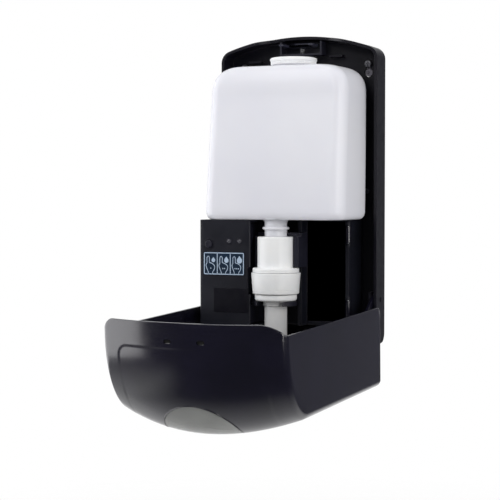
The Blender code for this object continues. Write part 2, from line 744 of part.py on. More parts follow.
def make_back_plate(base):
    """The tray that hangs on the wall, with keyholes, shelves and hinge holes."""
    plate = base.add(
        "back_plate",
        prism(arched(PLATE_HALF, 0, PLATE_HEIGHT, PLATE_CORNER, PLATE_FOOT), "Y", 0, PLATE_DEPTH),
        "black_satin",
    )
    side = [
        (PLATE_DEPTH + OVERRUN, 0),
        (PLATE_DEPTH + OVERRUN, PLATE_HEIGHT + OVERRUN),
        (0, PLATE_HEIGHT + OVERRUN),
        (0, 0),
    ]
    tool(
        plate,
        prism(
            rounded(side, [0, 0, 0, PLATE_HEEL], CORNER_STEPS + 3),
            "X",
            -PLATE_HALF - OVERRUN,
            PLATE_HALF + OVERRUN,
        ),
        "INTERSECT",
    )
    inner_half = PLATE_HALF - PLATE_WALL
    hollow = [
        (PLATE_DEPTH + OVERRUN, PLATE_WALL),
        (PLATE_DEPTH + OVERRUN, PLATE_HEIGHT - PLATE_WALL),
        (PLATE_WALL, PLATE_HEIGHT - PLATE_WALL),
        (PLATE_WALL, PLATE_WALL),
    ]
    inner = arched(inner_half, PLATE_WALL, PLATE_HEIGHT - PLATE_WALL, PLATE_CORNER - PLATE_WALL, 0)
    cut(plate, prism(inner, "Y", PLATE_HEEL, PLATE_DEPTH + OVERRUN))
    low_hollow = rounded(hollow, [0, 0, 0, PLATE_HEEL - PLATE_WALL], CORNER_STEPS + 3)
    side_top = PLATE_HEIGHT - ARCH_DEPTH_SHARE * inner_half ** 2 - PLATE_CORNER - PLATE_WALL
    low_hollow = [(forward, min(height, side_top)) for forward, height in low_hollow]
    cut(plate, prism(low_hollow, "X", -inner_half, inner_half))
    upper = arched(
        inner_half, side_top - PLATE_CORNER, PLATE_HEIGHT - PLATE_WALL, PLATE_CORNER - PLATE_WALL, 0
    )
    cut(plate, prism(upper, "Y", PLATE_WALL, PLATE_DEPTH))
    notch = LATCH_HALF + PLATE_NOTCH_MARGIN
    cut(
        plate,
        box(
            -notch,
            notch,
            PLATE_DEPTH - PLATE_TOP_SETBACK,
            PLATE_DEPTH + OVERRUN,
            side_top,
            PLATE_HEIGHT + OVERRUN,
        ),
    )
    for side in (-1, 1):
        x = KEYHOLE_X * side
        top = KEYHOLE_HEIGHT + KEYHOLE_RISE
        slot = SCREW_SHANK_RADIUS + GAP
        cut(plate, rod("Y", x, KEYHOLE_HEIGHT, KEYHOLE_RADIUS, -OVERRUN, PLATE_WALL + OVERRUN))
        cut(
            plate,
            prism(
                panel(x - slot, x + slot, KEYHOLE_HEIGHT, top + slot, slot - WELD),
                "Y",
                -OVERRUN,
                PLATE_WALL + OVERRUN,
            ),
        )
        cut(
            plate,
            rod(
                "Y",
                LOWER_SCREW_X * side,
                LOWER_SCREW_HEIGHT,
                LOWER_SHANK_RADIUS + GAP,
                -OVERRUN,
                PLATE_WALL + OVERRUN,
            ),
        )
    for x, below in ((SHELF_LEFT_X, SHELF_LEFT_BELOW_TOP), (SHELF_RIGHT_X, SHELF_RIGHT_BELOW_TOP)):
        height = PLATE_HEIGHT - below
        join(
            plate,
            box(
                x - SHELF_LENGTH / 2,
                x + SHELF_LENGTH / 2,
                PLATE_WALL / 2,
                PLATE_WALL + SHELF_DEPTH,
                height - SHELF_THICKNESS / 2,
                height + SHELF_THICKNESS / 2,
            ),
        )
    lug_right = PLATE_HALF - PLATE_WALL - EAR_GAP * 2 - EAR_THICKNESS
    half = HINGE_LUG_SIZE / 2
    join(
        plate,
        box(
            lug_right - HINGE_LUG_WIDTH,
            lug_right,
            PLATE_WALL / 2,
            HINGE_FORWARD + half,
            HINGE_HEIGHT - half,
            HINGE_HEIGHT + half,
        ),
    )
    for side in (-1, 1):
        ends = sorted((side * (PLATE_HALF + OVERRUN), side * (lug_right - HINGE_LUG_WIDTH - OVERRUN)))
        cut(plate, rod("X", HINGE_FORWARD, HINGE_HEIGHT, HINGE_PIN_RADIUS + RUN, *ends))


def make_screw(base, name, x, height, head, shank, head_height, back, seat):
    """A pan head screw along y, with a cross slot; back is its end and seat the face under its head."""
    front = seat + GAP + head_height
    screw = base.add(name, rod("Y", x, height, head, seat + GAP, front), "steel")
    join(screw, rod("Y", x, height, shank, back, front - head_height / 2))
    width = SCREW_SLOT_WIDTH / 2
    reach = head - width
    depth = front - head_height / 2
    cut(screw, box(x - reach, x + reach, depth, front + OVERRUN, height - width, height + width))
    cut(screw, box(x - width, x + width, depth, front + OVERRUN, height - reach, height + reach))


def make_hinge_pins(base):
    """A steel pin at each end of the cover's hinge line."""
    for name, side in (("hinge_pin_left", -1), ("hinge_pin_right", 1)):
        ends = sorted((side * (PLATE_HALF - GAP), side * (PLATE_HALF - GAP - HINGE_PIN_REACH - PLATE_WALL)))
        base.add(name, rod("X", HINGE_FORWARD, HINGE_HEIGHT, HINGE_PIN_RADIUS, *ends), "steel")


def make_cover(cover):
    """The front cover with its ears, key slots and window opening, and the window and catch it carries."""
    back = COVER_RIM - COVER_LIP
    shell = cover.add("cover_shell", cover_solid(0, back, COVER_LOW), "black_gloss")
    cut(shell, cover_solid(COVER_WALL, back - OVERRUN, COVER_LOW - OVERRUN))
    for side in (-1, 1):
        points = [(side * COVER_LIP_HALF, back - OVERRUN)]
        for index in range(CORNER_STEPS * 2 + 1):
            share = index / (CORNER_STEPS * 2)
            points.append(
                (
                    side * (COVER_LIP_HALF + COVER_LIP_BLEND * share),
                    back + COVER_LIP * share ** COVER_LIP_POWER,
                )
            )
        points += [
            (side * (COVER_HALF + OVERRUN), COVER_RIM), (side * (COVER_HALF + OVERRUN), back - OVERRUN)
        ]
        cut(shell, prism(points, "Z", COVER_LOW - OVERRUN, COVER_TOP + OVERRUN))
        cut(
            shell,
            prism(
                panel(
                    side * KEY_SLOT_X - KEY_SLOT_WIDTH / 2,
                    side * KEY_SLOT_X + KEY_SLOT_WIDTH / 2,
                    KEY_SLOT_FORWARD - KEY_SLOT_DEPTH / 2,
                    KEY_SLOT_FORWARD + KEY_SLOT_DEPTH / 2,
                    KEY_SLOT_DEPTH / 2 - WELD,
                ),
                "Z",
                COVER_TOP - COVER_TOP_FALL / 2,
                COVER_TOP + OVERRUN,
            ),
        )
        low_corner = circle(
            COVER_RIM + COVER_LOW_CORNER,
            COVER_LOW + COVER_LOW_CORNER,
            COVER_LOW_CORNER,
            CORNER_STEPS,
            math.pi,
            math.pi / 2,
        )
        low_corner += [
            (COVER_RIM + COVER_LOW_CORNER, COVER_LOW - OVERRUN),
            (COVER_RIM - OVERRUN, COVER_LOW - OVERRUN),
            (COVER_RIM - OVERRUN, COVER_LOW + COVER_LOW_CORNER),
        ]
        ends = sorted((side * (COVER_HALF + OVERRUN), side * (COVER_HALF - COVER_WALL - OVERRUN)))
        cut(shell, prism(low_corner, "X", *ends))
    cut(
        shell,
        prism(window_outline(0), "Y", COVER_RIM + COVER_TOP_FALL, COVER_RIM + COVER_CROWN_DEPTH + OVERRUN),
    )
    jog_back = PLATE_DEPTH + EAR_JOG_START
    jog_front = jog_back + EAR_JOG_DEPTH
    jog_high = EAR_JOG_LOW + EAR_JOG_HEIGHT
    outline = circle(HINGE_FORWARD, HINGE_HEIGHT, EAR_RADIUS, SMALL_STEPS, math.radians(145), math.pi)
    outline += [(jog_front, EAR_JOG_LOW), (jog_front, jog_high), (jog_back, jog_high)]
    ear_outer = PLATE_HALF - PLATE_WALL - EAR_GAP
    for side in (-1, 1):
        ends = sorted((side * ear_outer, side * (ear_outer - EAR_THICKNESS)))
        join(shell, prism(outline, "X", *ends))
        ends = sorted((side * (COVER_HALF - COVER_WALL / 2), side * (ear_outer - EAR_THICKNESS / 2)))
        join(shell, box(*ends, jog_back + GAP, jog_front - GAP, EAR_JOG_LOW + GAP, jog_high - GAP))
        ends = sorted((side * (ear_outer + OVERRUN / 10), side * (ear_outer - EAR_THICKNESS - OVERRUN)))
        cut(shell, rod("X", HINGE_FORWARD, HINGE_HEIGHT, HINGE_PIN_RADIUS + RUN, *ends))
    pane = cover.add(
        "level_window",
        prism(
            window_outline(GAP), "Y", COVER_RIM + COVER_TOP_FALL, COVER_RIM + COVER_CROWN_DEPTH + OVERRUN
        ),
        "smoke",
    )
    tool(pane, cover_solid(0, back, COVER_LOW), "INTERSECT")
    cut(pane, cover_solid(COVER_WALL, back - OVERRUN, COVER_LOW - OVERRUN))
    high = COVER_TOP - COVER_WALL - GAP
    low = LATCH_BAR_LOW + LATCH_BAR_HEIGHT + LATCH_TOOTH_HEIGHT + GAP
    front = STRIKE_BACK + STRIKE_STEM
    hook = [
        (front, high),
        (STRIKE_BACK, high),
        (STRIKE_BACK, low + STRIKE_NOSE_HEIGHT),
        (STRIKE_BACK - STRIKE_NOSE, low + STRIKE_NOSE_HEIGHT),
        (STRIKE_BACK - STRIKE_NOSE, low),
        (front, low),
    ]
    cover.add("cover_strike", prism(hook, "X", -STRIKE_HALF, STRIKE_HALF), "black_satin")


def make_latch(base, latch):
    """The bracket on the plate, the sprung slide that the key presses down, and its spring."""
    back = PLATE_WALL + GAP
    front = back + LATCH_DEPTH
    inner = LATCH_HALF - LATCH_CHEEK
    floor = LATCH_LOW + LATCH_CHEEK
    bracket = base.add(
        "latch_bracket",
        box(-LATCH_HALF, LATCH_HALF, back, front, LATCH_LOW, LATCH_LOW + LATCH_HEIGHT),
        "dark_grey",
    )
    cut(
        bracket,
        box(-inner, inner, back + LATCH_CHEEK, front + OVERRUN, floor, LATCH_LOW + LATCH_HEIGHT + OVERRUN),
    )
    bar_high = LATCH_BAR_LOW + LATCH_BAR_HEIGHT
    half = inner - GAP
    bar_front = LATCH_BAR_BACK + LATCH_BAR_DEPTH
    slide = latch.add(
        "latch_slide", box(-half, half, LATCH_BAR_BACK, bar_front, LATCH_BAR_LOW, bar_high), "dark_grey"
    )
    join(
        slide,
        box(
            -LATCH_TOOTH_HALF,
            LATCH_TOOTH_HALF,
            LATCH_BAR_BACK + LATCH_BAR_DEPTH / 2,
            bar_front - LATCH_CHEEK / 2,
            bar_high - LATCH_BAR_HEIGHT / 2,
            bar_high + LATCH_TOOTH_HEIGHT,
        ),
    )
    for side in (-1, 1):
        middle = side * KEY_SLOT_X
        join(
            slide,
            box(
                middle - LATCH_TONGUE_WIDTH / 2,
                middle + LATCH_TONGUE_WIDTH / 2,
                bar_front - OVERRUN,
                LATCH_TONGUE_REACH,
                LATCH_BAR_LOW + GAP,
                bar_high - GAP,
            ),
        )
    middle = (LATCH_BAR_BACK + bar_front) / 2
    latch.add(
        "latch_spring",
        coil(
            0,
            middle,
            floor + GAP,
            LATCH_BAR_LOW - GAP,
            LATCH_SPRING_RADIUS,
            LATCH_SPRING_WIRE,
            LATCH_SPRING_TURNS,
        ),
        "steel",
    )


def wheel_places():
    """Where the output, idler and motor shafts lie, as (forward, height)."""
    output = (RACK_PITCH_FORWARD - RACK_MODULE * OUTPUT_PINION_TEETH / 2, OUTPUT_HEIGHT)
    reach = MID_MODULE * (OUTPUT_TEETH + IDLER_PINION_TEETH) / 2
    idler = (output[0] + reach * math.cos(OUTPUT_TO_IDLER), output[1] + reach * math.sin(OUTPUT_TO_IDLER))
    reach = FINE_MODULE * (IDLER_TEETH + MOTOR_TEETH) / 2
    motor = (idler[0] + reach * math.cos(IDLER_TO_MOTOR), idler[1] + reach * math.sin(IDLER_TO_MOTOR))
    return output, idler, motor


def wheel_planes():
    """The x limits of the rack, middle and fine wheel planes and of the gear plate."""
    rack_high = WING_RIGHT - DRIVE_COVER_SINK - DRIVE_COVER_THICKNESS - WHEEL_GAP
    rack_low = rack_high - RACK_WIDTH
    mid_high = rack_low - WHEEL_GAP
    mid_low = mid_high - WHEEL_WIDTH
    fine_high = mid_low - WHEEL_GAP * 2
    fine_low = fine_high - WHEEL_WIDTH
    plate_high = fine_low - WHEEL_GAP
    return (rack_low, rack_high), (mid_low, mid_high), (fine_low, fine_high), (
        plate_high - GEAR_PLATE_THICKNESS, plate_high
    )


def door_spans():
    """Heights of the door's two knuckles."""
    lower = (DOOR_LOW + KNUCKLE_INSET, DOOR_LOW + KNUCKLE_INSET + KNUCKLE_LENGTH)
    upper = (DOOR_HIGH - KNUCKLE_INSET - KNUCKLE_LENGTH, DOOR_HIGH - KNUCKLE_INSET)
    return lower, upper


def make_housing(base):
    """The housing: an L in plan, hollowed for the drive and for the cells."""
    wall = HOUSING_WALL
    back = PLATE_WALL + GAP
    inner_right = WING_RIGHT - wall
    inner_low = HOUSING_LOW + wall
    inner_high = HOUSING_TOP - wall
    plan = [
        (WING_LEFT, back),
        (BODY_RIGHT, back),
        (BODY_RIGHT, BODY_FRONT),
        (GUIDE_RIGHT, BODY_FRONT),
        (GUIDE_RIGHT, GUIDE_FRONT),
        (GUIDE_LEFT, GUIDE_FRONT),
        (GUIDE_LEFT, BODY_FRONT),
        (WING_RIGHT, BODY_FRONT),
        (WING_RIGHT, WING_FRONT),
        (WING_LEFT, WING_FRONT),
    ]
    edge = HOUSING_EDGE
    plan = rounded(plan, [0, 0, 0, 0, 0, 0, 0, 0, edge, edge], CORNER_STEPS)
    housing = base.add("mechanism_housing", prism(plan, "Z", HOUSING_LOW, HOUSING_TOP), "grey_housing")
    cut(
        housing,
        box(
            WING_LEFT + wall,
            WING_RIGHT - DRIVE_COVER_SINK - DRIVE_COVER_THICKNESS,
            back + wall,
            WING_FRONT - wall,
            inner_low,
            inner_high,
        ),
    )
    cut(
        housing,
        box(
            WING_RIGHT - DRIVE_COVER_SINK - DRIVE_COVER_THICKNESS - OVERRUN,
            WING_RIGHT + OVERRUN,
            BODY_FRONT + wall,
            WING_FRONT - wall,
            inner_low,
            inner_high,
        ),
    )
    cut(
        housing,
        box(
            inner_right + wall,
            GUIDE_LEFT + wall / 2,
            back - OVERRUN,
            BODY_FRONT - wall,
            inner_low,
            inner_high,
        ),
    )
    cut(
        housing,
        box(
            BAY_LEFT,
            BAY_RIGHT,
            back - OVERRUN,
            BODY_FRONT - DOOR_THICKNESS - wall,
            inner_low,
            BAY_LOW - wall,
        ),
    )
    cut(
        housing,
        box(
            BAY_LEFT,
            BAY_RIGHT,
            back - OVERRUN,
            BODY_FRONT - DOOR_THICKNESS - wall,
            BAY_HIGH + wall,
            inner_high,
        ),
    )
    cut(housing, box(BAY_LEFT, BAY_RIGHT, back - OVERRUN, BODY_FRONT + OVERRUN, BAY_LOW, BAY_HIGH))
    cut(
        housing,
        box(
            DOOR_LEFT,
            DOOR_HINGE_X - DOOR_KNUCKLE_RADIUS - GAP,
            BODY_FRONT - DOOR_THICKNESS - GAP,
            BODY_FRONT + OVERRUN,
            DOOR_LOW - GAP,
            DOOR_HIGH + GAP,
        ),
    )
    notch_low = CUP_LOW - NOTCH_GAP
    notch_high = COLLAR_LOW + NOTCH_GAP
    cut(
        housing,
        box(
            WING_RIGHT - NOTCH_DEPTH,
            WING_RIGHT + OVERRUN,
            WING_FRONT - wall - OVERRUN,
            WING_FRONT + OVERRUN,
            notch_low,
            notch_high,
        ),
    )
    for x in LIGHT_X:
        cut(
            housing,
            rod(
                "Y", x, LIGHT_HEIGHT, LIGHT_RADIUS + GAP, WING_FRONT - wall - OVERRUN, WING_FRONT + OVERRUN
            ),
        )
    cut(
        housing,
        rod(
            "Y",
            BUTTON_X,
            BUTTON_HEIGHT,
            BUTTON_RADIUS + GAP,
            WING_FRONT - wall - OVERRUN,
            WING_FRONT + OVERRUN,
        ),
    )
    cut(
        housing,
        box(
            SENSOR_X - SENSOR_HALF,
            SENSOR_X + SENSOR_HALF,
            SENSOR_FORWARD - SENSOR_HALF_LENGTH,
            SENSOR_FORWARD + SENSOR_HALF_LENGTH,
            HOUSING_LOW - OVERRUN,
            inner_low + OVERRUN,
        ),
    )
    cut(
        housing,
        rod(
            "X",
            HINGE_FORWARD,
            HINGE_HEIGHT,
            HINGE_PIN_RADIUS + RUN,
            WING_LEFT - OVERRUN,
            WING_LEFT + wall + OVERRUN,
        ),
    )
    lower, upper = door_spans()
    clear = DOOR_KNUCKLE_RADIUS + GAP
    for low, high in (lower, upper):
        cut(housing, rod("Z", DOOR_HINGE_X, DOOR_HINGE_FORWARD, clear, low - GAP, high + GAP))
        cut(
            housing,
            box(
                DOOR_HINGE_X - clear,
                BODY_RIGHT + OVERRUN,
                BODY_FRONT - DOOR_THICKNESS - GAP,
                BODY_FRONT + OVERRUN,
                low - GAP,
                high + GAP,
            ),
        )
        for lug_low, lug_high in ((low - GAP - LUG_LENGTH, low - GAP), (high + GAP, high + GAP + LUG_LENGTH)):
            join(housing, rod("Z", DOOR_HINGE_X, DOOR_HINGE_FORWARD, DOOR_KNUCKLE_RADIUS, lug_low, lug_high))
        cut(
            housing,
            rod(
                "Z",
                DOOR_HINGE_X,
                DOOR_HINGE_FORWARD,
                DOOR_PIN_RADIUS + RUN,
                low - GAP - LUG_LENGTH - OVERRUN / 2,
                high + GAP + LUG_LENGTH + OVERRUN / 2,
            ),
        )
    for side in (-1, 1):
        x = HOUSING_SCREW_X * side
        join(
            housing,
            box(
                x - HOUSING_TAB_HALF,
                x + HOUSING_TAB_HALF,
                back + WELD,
                back + HOUSING_TAB_DEPTH,
                HOUSING_TOP - wall / 2,
                HOUSING_TOP + HOUSING_TAB_HEIGHT,
            ),
        )
        cut(
            housing,
            rod(
                "Y",
                x,
                HOUSING_TOP + HOUSING_TAB_HEIGHT / 2,
                HOUSING_SHANK_RADIUS + GAP,
                back - OVERRUN,
                back + HOUSING_TAB_DEPTH + OVERRUN,
            ),
        )


def make_front_trim(base, button):
    """Label, service plate, lights and button on the wing's front."""
    face = WING_FRONT + LABEL_GAP
    base.add(
        "dose_label",
        prism(
            panel(LABEL_LEFT, LABEL_RIGHT, LABEL_LOW, LABEL_HIGH, LABEL_CORNER),
            "Y",
            face,
            face + LABEL_THICKNESS,
        ),
        "label",
    )
    base.add(
        "service_plate",
        prism(
            panel(SERVICE_LEFT, SERVICE_RIGHT, SERVICE_LOW, SERVICE_HIGH, LABEL_CORNER),
            "Y",
            face,
            face + LABEL_THICKNESS,
        ),
        "dark_grey",
    )
    board_front = WING_FRONT - HOUSING_WALL - BOARD_BEHIND_WALL
    for name, x in zip(("status_light_left", "status_light_right"), LIGHT_X):
        light = base.add(
            name,
            rod("Y", x, LIGHT_HEIGHT, LIGHT_RADIUS, board_front + GAP, WING_FRONT + LIGHT_STAND),
            "clear_light",
        )
        light["kind"] = "light"
    rear = WING_FRONT - HOUSING_WALL - GAP
    cap = button.add(
        "dose_button",
        rod(
            "Y",
            BUTTON_X,
            BUTTON_HEIGHT,
            BUTTON_RADIUS,
            rear - BUTTON_FLANGE_THICKNESS / 2,
            WING_FRONT + BUTTON_STAND,
        ),
        "dark_grey",
    )
    join(
        cap,
        rod(
            "Y",
            BUTTON_X,
            BUTTON_HEIGHT,
            BUTTON_RADIUS + BUTTON_FLANGE,
            rear - BUTTON_FLANGE_THICKNESS,
            rear,
        ),
    )
    switch_front = rear - BUTTON_FLANGE_THICKNESS - BUTTON_TRAVEL - GAP
    base.add(
        "button_switch",
        box(
            BUTTON_X - SWITCH_HALF,
            BUTTON_X + SWITCH_HALF,
            board_front + GAP / 3,
            switch_front,
            BUTTON_HEIGHT - SWITCH_HALF,
            BUTTON_HEIGHT + SWITCH_HALF,
        ),
        "black_satin",
    )
    board = base.add(
        "circuit_board",
        box(BOARD_LEFT, BOARD_RIGHT, board_front - BOARD_THICKNESS, board_front, BOARD_LOW, BOARD_HIGH),
        "board",
    )
    board["kind"] = "board"
    low = HOUSING_LOW + GAP
    high = HOUSING_LOW + HOUSING_WALL
    base.add(
        "sensor_window",
        box(
            SENSOR_X - SENSOR_HALF + GAP,
            SENSOR_X + SENSOR_HALF - GAP,
            SENSOR_FORWARD - SENSOR_HALF_LENGTH + GAP,
            SENSOR_FORWARD + SENSOR_HALF_LENGTH - GAP,
            low,
            high,
        ),
        "lens",
    )
    for name, side in (("ir_emitter", -1), ("ir_receiver", 1)):
        base.add(
            name,
            rod(
                "Z",
                SENSOR_X,
                SENSOR_FORWARD + side * SENSOR_PITCH / 2,
                EYE_RADIUS,
                high + GAP,
                high + GAP + EYE_HEIGHT,
            ),
            "lens",
        )


def make_drive(base, motor_spin, idler_spin, output_spin, carriage):
    """Motor, gear plate, wheels on their shafts, guide rod and the rack carriage with its fork."""
    output, idler, motor = wheel_places()
    rack, mid, fine, plate = wheel_planes()
    inner_low = HOUSING_LOW + HOUSING_WALL
    inner_high = HOUSING_TOP - HOUSING_WALL
    gear_plate = base.add(
        "gear_plate",
        box(*plate, GEAR_PLATE_BACK, GEAR_PLATE_FRONT, inner_low + GAP, inner_high - GAP),
        "steel",
    )
    cut(gear_plate, rod("X", *motor, MOTOR_BOSS_RADIUS + GAP, plate[0] - OVERRUN, plate[1] + OVERRUN))
    cut(gear_plate, rod("X", *idler, IDLER_SHAFT_RADIUS + RUN, plate[0] - OVERRUN, plate[1] + OVERRUN))
    cut(gear_plate, rod("X", *output, OUTPUT_SHAFT_RADIUS + RUN, plate[0] - OVERRUN, plate[1] + OVERRUN))
    can = base.add(
        "motor",
        rod("X", *motor, MOTOR_RADIUS, plate[0] - GAP - MOTOR_LENGTH, plate[0] - GAP, ROUND_STEPS),
        "steel",
    )
    join(can, rod("X", *motor, MOTOR_BOSS_RADIUS, plate[0] - GAP - MOTOR_BOSS_RADIUS, plate[1]))
    shaft_seat = plate[0] - MOTOR_BOSS_RADIUS
    cut(can, rod("X", *motor, MOTOR_SHAFT_RADIUS + RUN, shaft_seat - GAP, plate[1] + OVERRUN))
    pinion = motor_spin.add(
        "motor_pinion", gear(MOTOR_TEETH, FINE_MODULE, *fine, *motor, IDLER_TO_MOTOR + math.pi), "acetal"
    )
    join(pinion, rod("X", *motor, MOTOR_SHAFT_RADIUS, shaft_seat, fine[0] + WHEEL_WIDTH / 2))
    end = rack[1]
    base.add("idler_shaft", rod("X", *idler, IDLER_SHAFT_RADIUS, plate[0], end), "steel")
    base.add("output_shaft", rod("X", *output, OUTPUT_SHAFT_RADIUS, plate[0], end), "steel")
    turn = math.pi / IDLER_TEETH
    wheel = idler_spin.add(
        "idler_gear", gear(IDLER_TEETH, FINE_MODULE, *fine, *idler, IDLER_TO_MOTOR + turn), "acetal"
    )
    join(
        wheel,
        gear(
            IDLER_PINION_TEETH,
            MID_MODULE,
            fine[1] - WHEEL_WIDTH / 2,
            mid[1],
            *idler,
            OUTPUT_TO_IDLER + math.pi,
        ),
    )
    cut(wheel, rod("X", *idler, IDLER_SHAFT_RADIUS + RUN, fine[0] - OVERRUN, mid[1] + OVERRUN))
    turn = math.pi / OUTPUT_TEETH
    wheel = output_spin.add(
        "output_gear", gear(OUTPUT_TEETH, MID_MODULE, *mid, *output, OUTPUT_TO_IDLER + turn), "acetal"
    )
    join(wheel, gear(OUTPUT_PINION_TEETH, RACK_MODULE, mid[1] - WHEEL_WIDTH / 2, rack[1], *output, 0))
    cut(wheel, rod("X", *output, OUTPUT_SHAFT_RADIUS + RUN, mid[0] - OVERRUN, rack[1] + OVERRUN))
    pitch = math.pi * RACK_MODULE
    tip = RACK_PITCH_FORWARD - RACK_MODULE * TOOTH_HEIGHT_SHARE
    root = ARM_BACK
    half = pitch / 4 * (1 - TOOTH_BACKLASH_SHARE)
    outline = [(CARRIAGE_FRONT, CARRIAGE_LOW), (CARRIAGE_FRONT, CARRIAGE_HIGH), (root, CARRIAGE_HIGH)]
    first = math.floor((CARRIAGE_HIGH - OUTPUT_HEIGHT) / pitch) - 1
    last = math.ceil((CARRIAGE_LOW + FORK_THICKNESS - OUTPUT_HEIGHT) / pitch) + 1
    for index in range(first, last - 1, -1):
        middle = OUTPUT_HEIGHT + pitch * (index + 1 / 2)
        outline += [
            (root, middle + half * 4 / 3),
            (RACK_PITCH_FORWARD, middle + half),
            (tip, middle + half * TOOTH_TIP_SHARE),
        ]
        outline += [
            (tip, middle - half * TOOTH_TIP_SHARE),
            (RACK_PITCH_FORWARD, middle - half),
            (root, middle - half * 4 / 3),
        ]
    outline += [(root, CARRIAGE_LOW)]
    column = carriage.add("carriage", prism(outline, "X", *rack), "acetal")
    arm = [
        (rack[0] + RACK_WIDTH / 2, ARM_BACK),
        (-FORK_SLOT_RADIUS / 2, ARM_BACK),
        (-FORK_SLOT_RADIUS / 2, ARM_FRONT),
        (rack[0] + RACK_WIDTH / 2, ARM_FRONT),
    ]
    fork_high = CARRIAGE_LOW + FORK_THICKNESS
    join(column, prism(arm, "Z", CARRIAGE_LOW + WELD * 2, fork_high - WELD * 2))
    join(column, rod("Z", 0, PUMP_FORWARD, FORK_RADIUS, CARRIAGE_LOW, fork_high, ROUND_STEPS))
    cut(
        column,
        rod(
            "Z", 0, PUMP_FORWARD, FORK_SLOT_RADIUS, CARRIAGE_LOW - OVERRUN, fork_high + OVERRUN, ROUND_STEPS
        ),
    )
    cut(
        column,
        box(
            -FORK_SLOT_RADIUS,
            FORK_SLOT_RADIUS,
            PUMP_FORWARD,
            PUMP_FORWARD + FORK_RADIUS + OVERRUN,
            CARRIAGE_LOW - OVERRUN,
            fork_high + OVERRUN,
        ),
    )
    rod_x = (rack[0] + rack[1]) / 2
    cut(
        column,
        rod(
            "Z",
            rod_x,
            GUIDE_ROD_FORWARD,
            GUIDE_ROD_RADIUS + RUN,
            CARRIAGE_LOW - OVERRUN,
            CARRIAGE_HIGH + OVERRUN,
        ),
    )
    base.add(
        "guide_rod",
        rod("Z", rod_x, GUIDE_ROD_FORWARD, GUIDE_ROD_RADIUS, inner_low + GAP, inner_high - GAP),
        "steel",
    )
    cover_high = WING_RIGHT - DRIVE_COVER_SINK
    cover = base.add(
        "drive_cover",
        box(
            cover_high - DRIVE_COVER_THICKNESS,
            cover_high,
            BODY_FRONT + HOUSING_WALL + GAP,
            WING_FRONT - HOUSING_WALL - GAP,
            inner_low + GAP,
            inner_high - GAP,
        ),
        "dark_grey",
    )
    slot = (
        ARM_BACK - GAP * 2, ARM_FRONT + GAP * 2, CARRIAGE_LOW - GAP * 2, fork_high + PUMP_STROKE + GAP * 2
    )
    cut(cover, box(cover_high - DRIVE_COVER_THICKNESS - OVERRUN, cover_high + OVERRUN, *slot))


def make_cradle(base):
    """The bracket with an open throat for the pump's collar and a yoke round the bottle's neck."""
    back = BODY_FRONT + GAP
    left = WING_RIGHT + GAP
    neck_low = COLLAR_HIGH + GAP / 2
    high = neck_low + YOKE_THICKNESS
    web = CRADLE_WEB_HALF
    plan = [
        (-web, back),
        (web, back),
        (web, CRADLE_BACK),
        (CRADLE_RIGHT, CRADLE_BACK),
        (CRADLE_RIGHT, CRADLE_FRONT),
        (left, CRADLE_FRONT),
        (left, CRADLE_BACK),
        (-web, CRADLE_BACK),
    ]
    cradle = base.add("pump_cradle", prism(plan, "Z", CRADLE_LOW, high), "dark_grey")
    cut(cradle, rod("Z", 0, PUMP_FORWARD, CRADLE_BORE, CRADLE_LOW - OVERRUN, neck_low, ROUND_STEPS))
    cut(
        cradle,
        box(
            -CRADLE_BORE, CRADLE_BORE, PUMP_FORWARD, CRADLE_FRONT + OVERRUN, CRADLE_LOW - OVERRUN, neck_low
        ),
    )
    cut(cradle, rod("Z", 0, PUMP_FORWARD, YOKE_BORE, neck_low - OVERRUN / 2, high + OVERRUN, ROUND_STEPS))
    cut(
        cradle,
        box(
            left - OVERRUN,
            CRADLE_RIGHT + OVERRUN,
            YOKE_FRONT,
            CRADLE_FRONT + OVERRUN,
            neck_low,
            high + OVERRUN,
        ),
    )


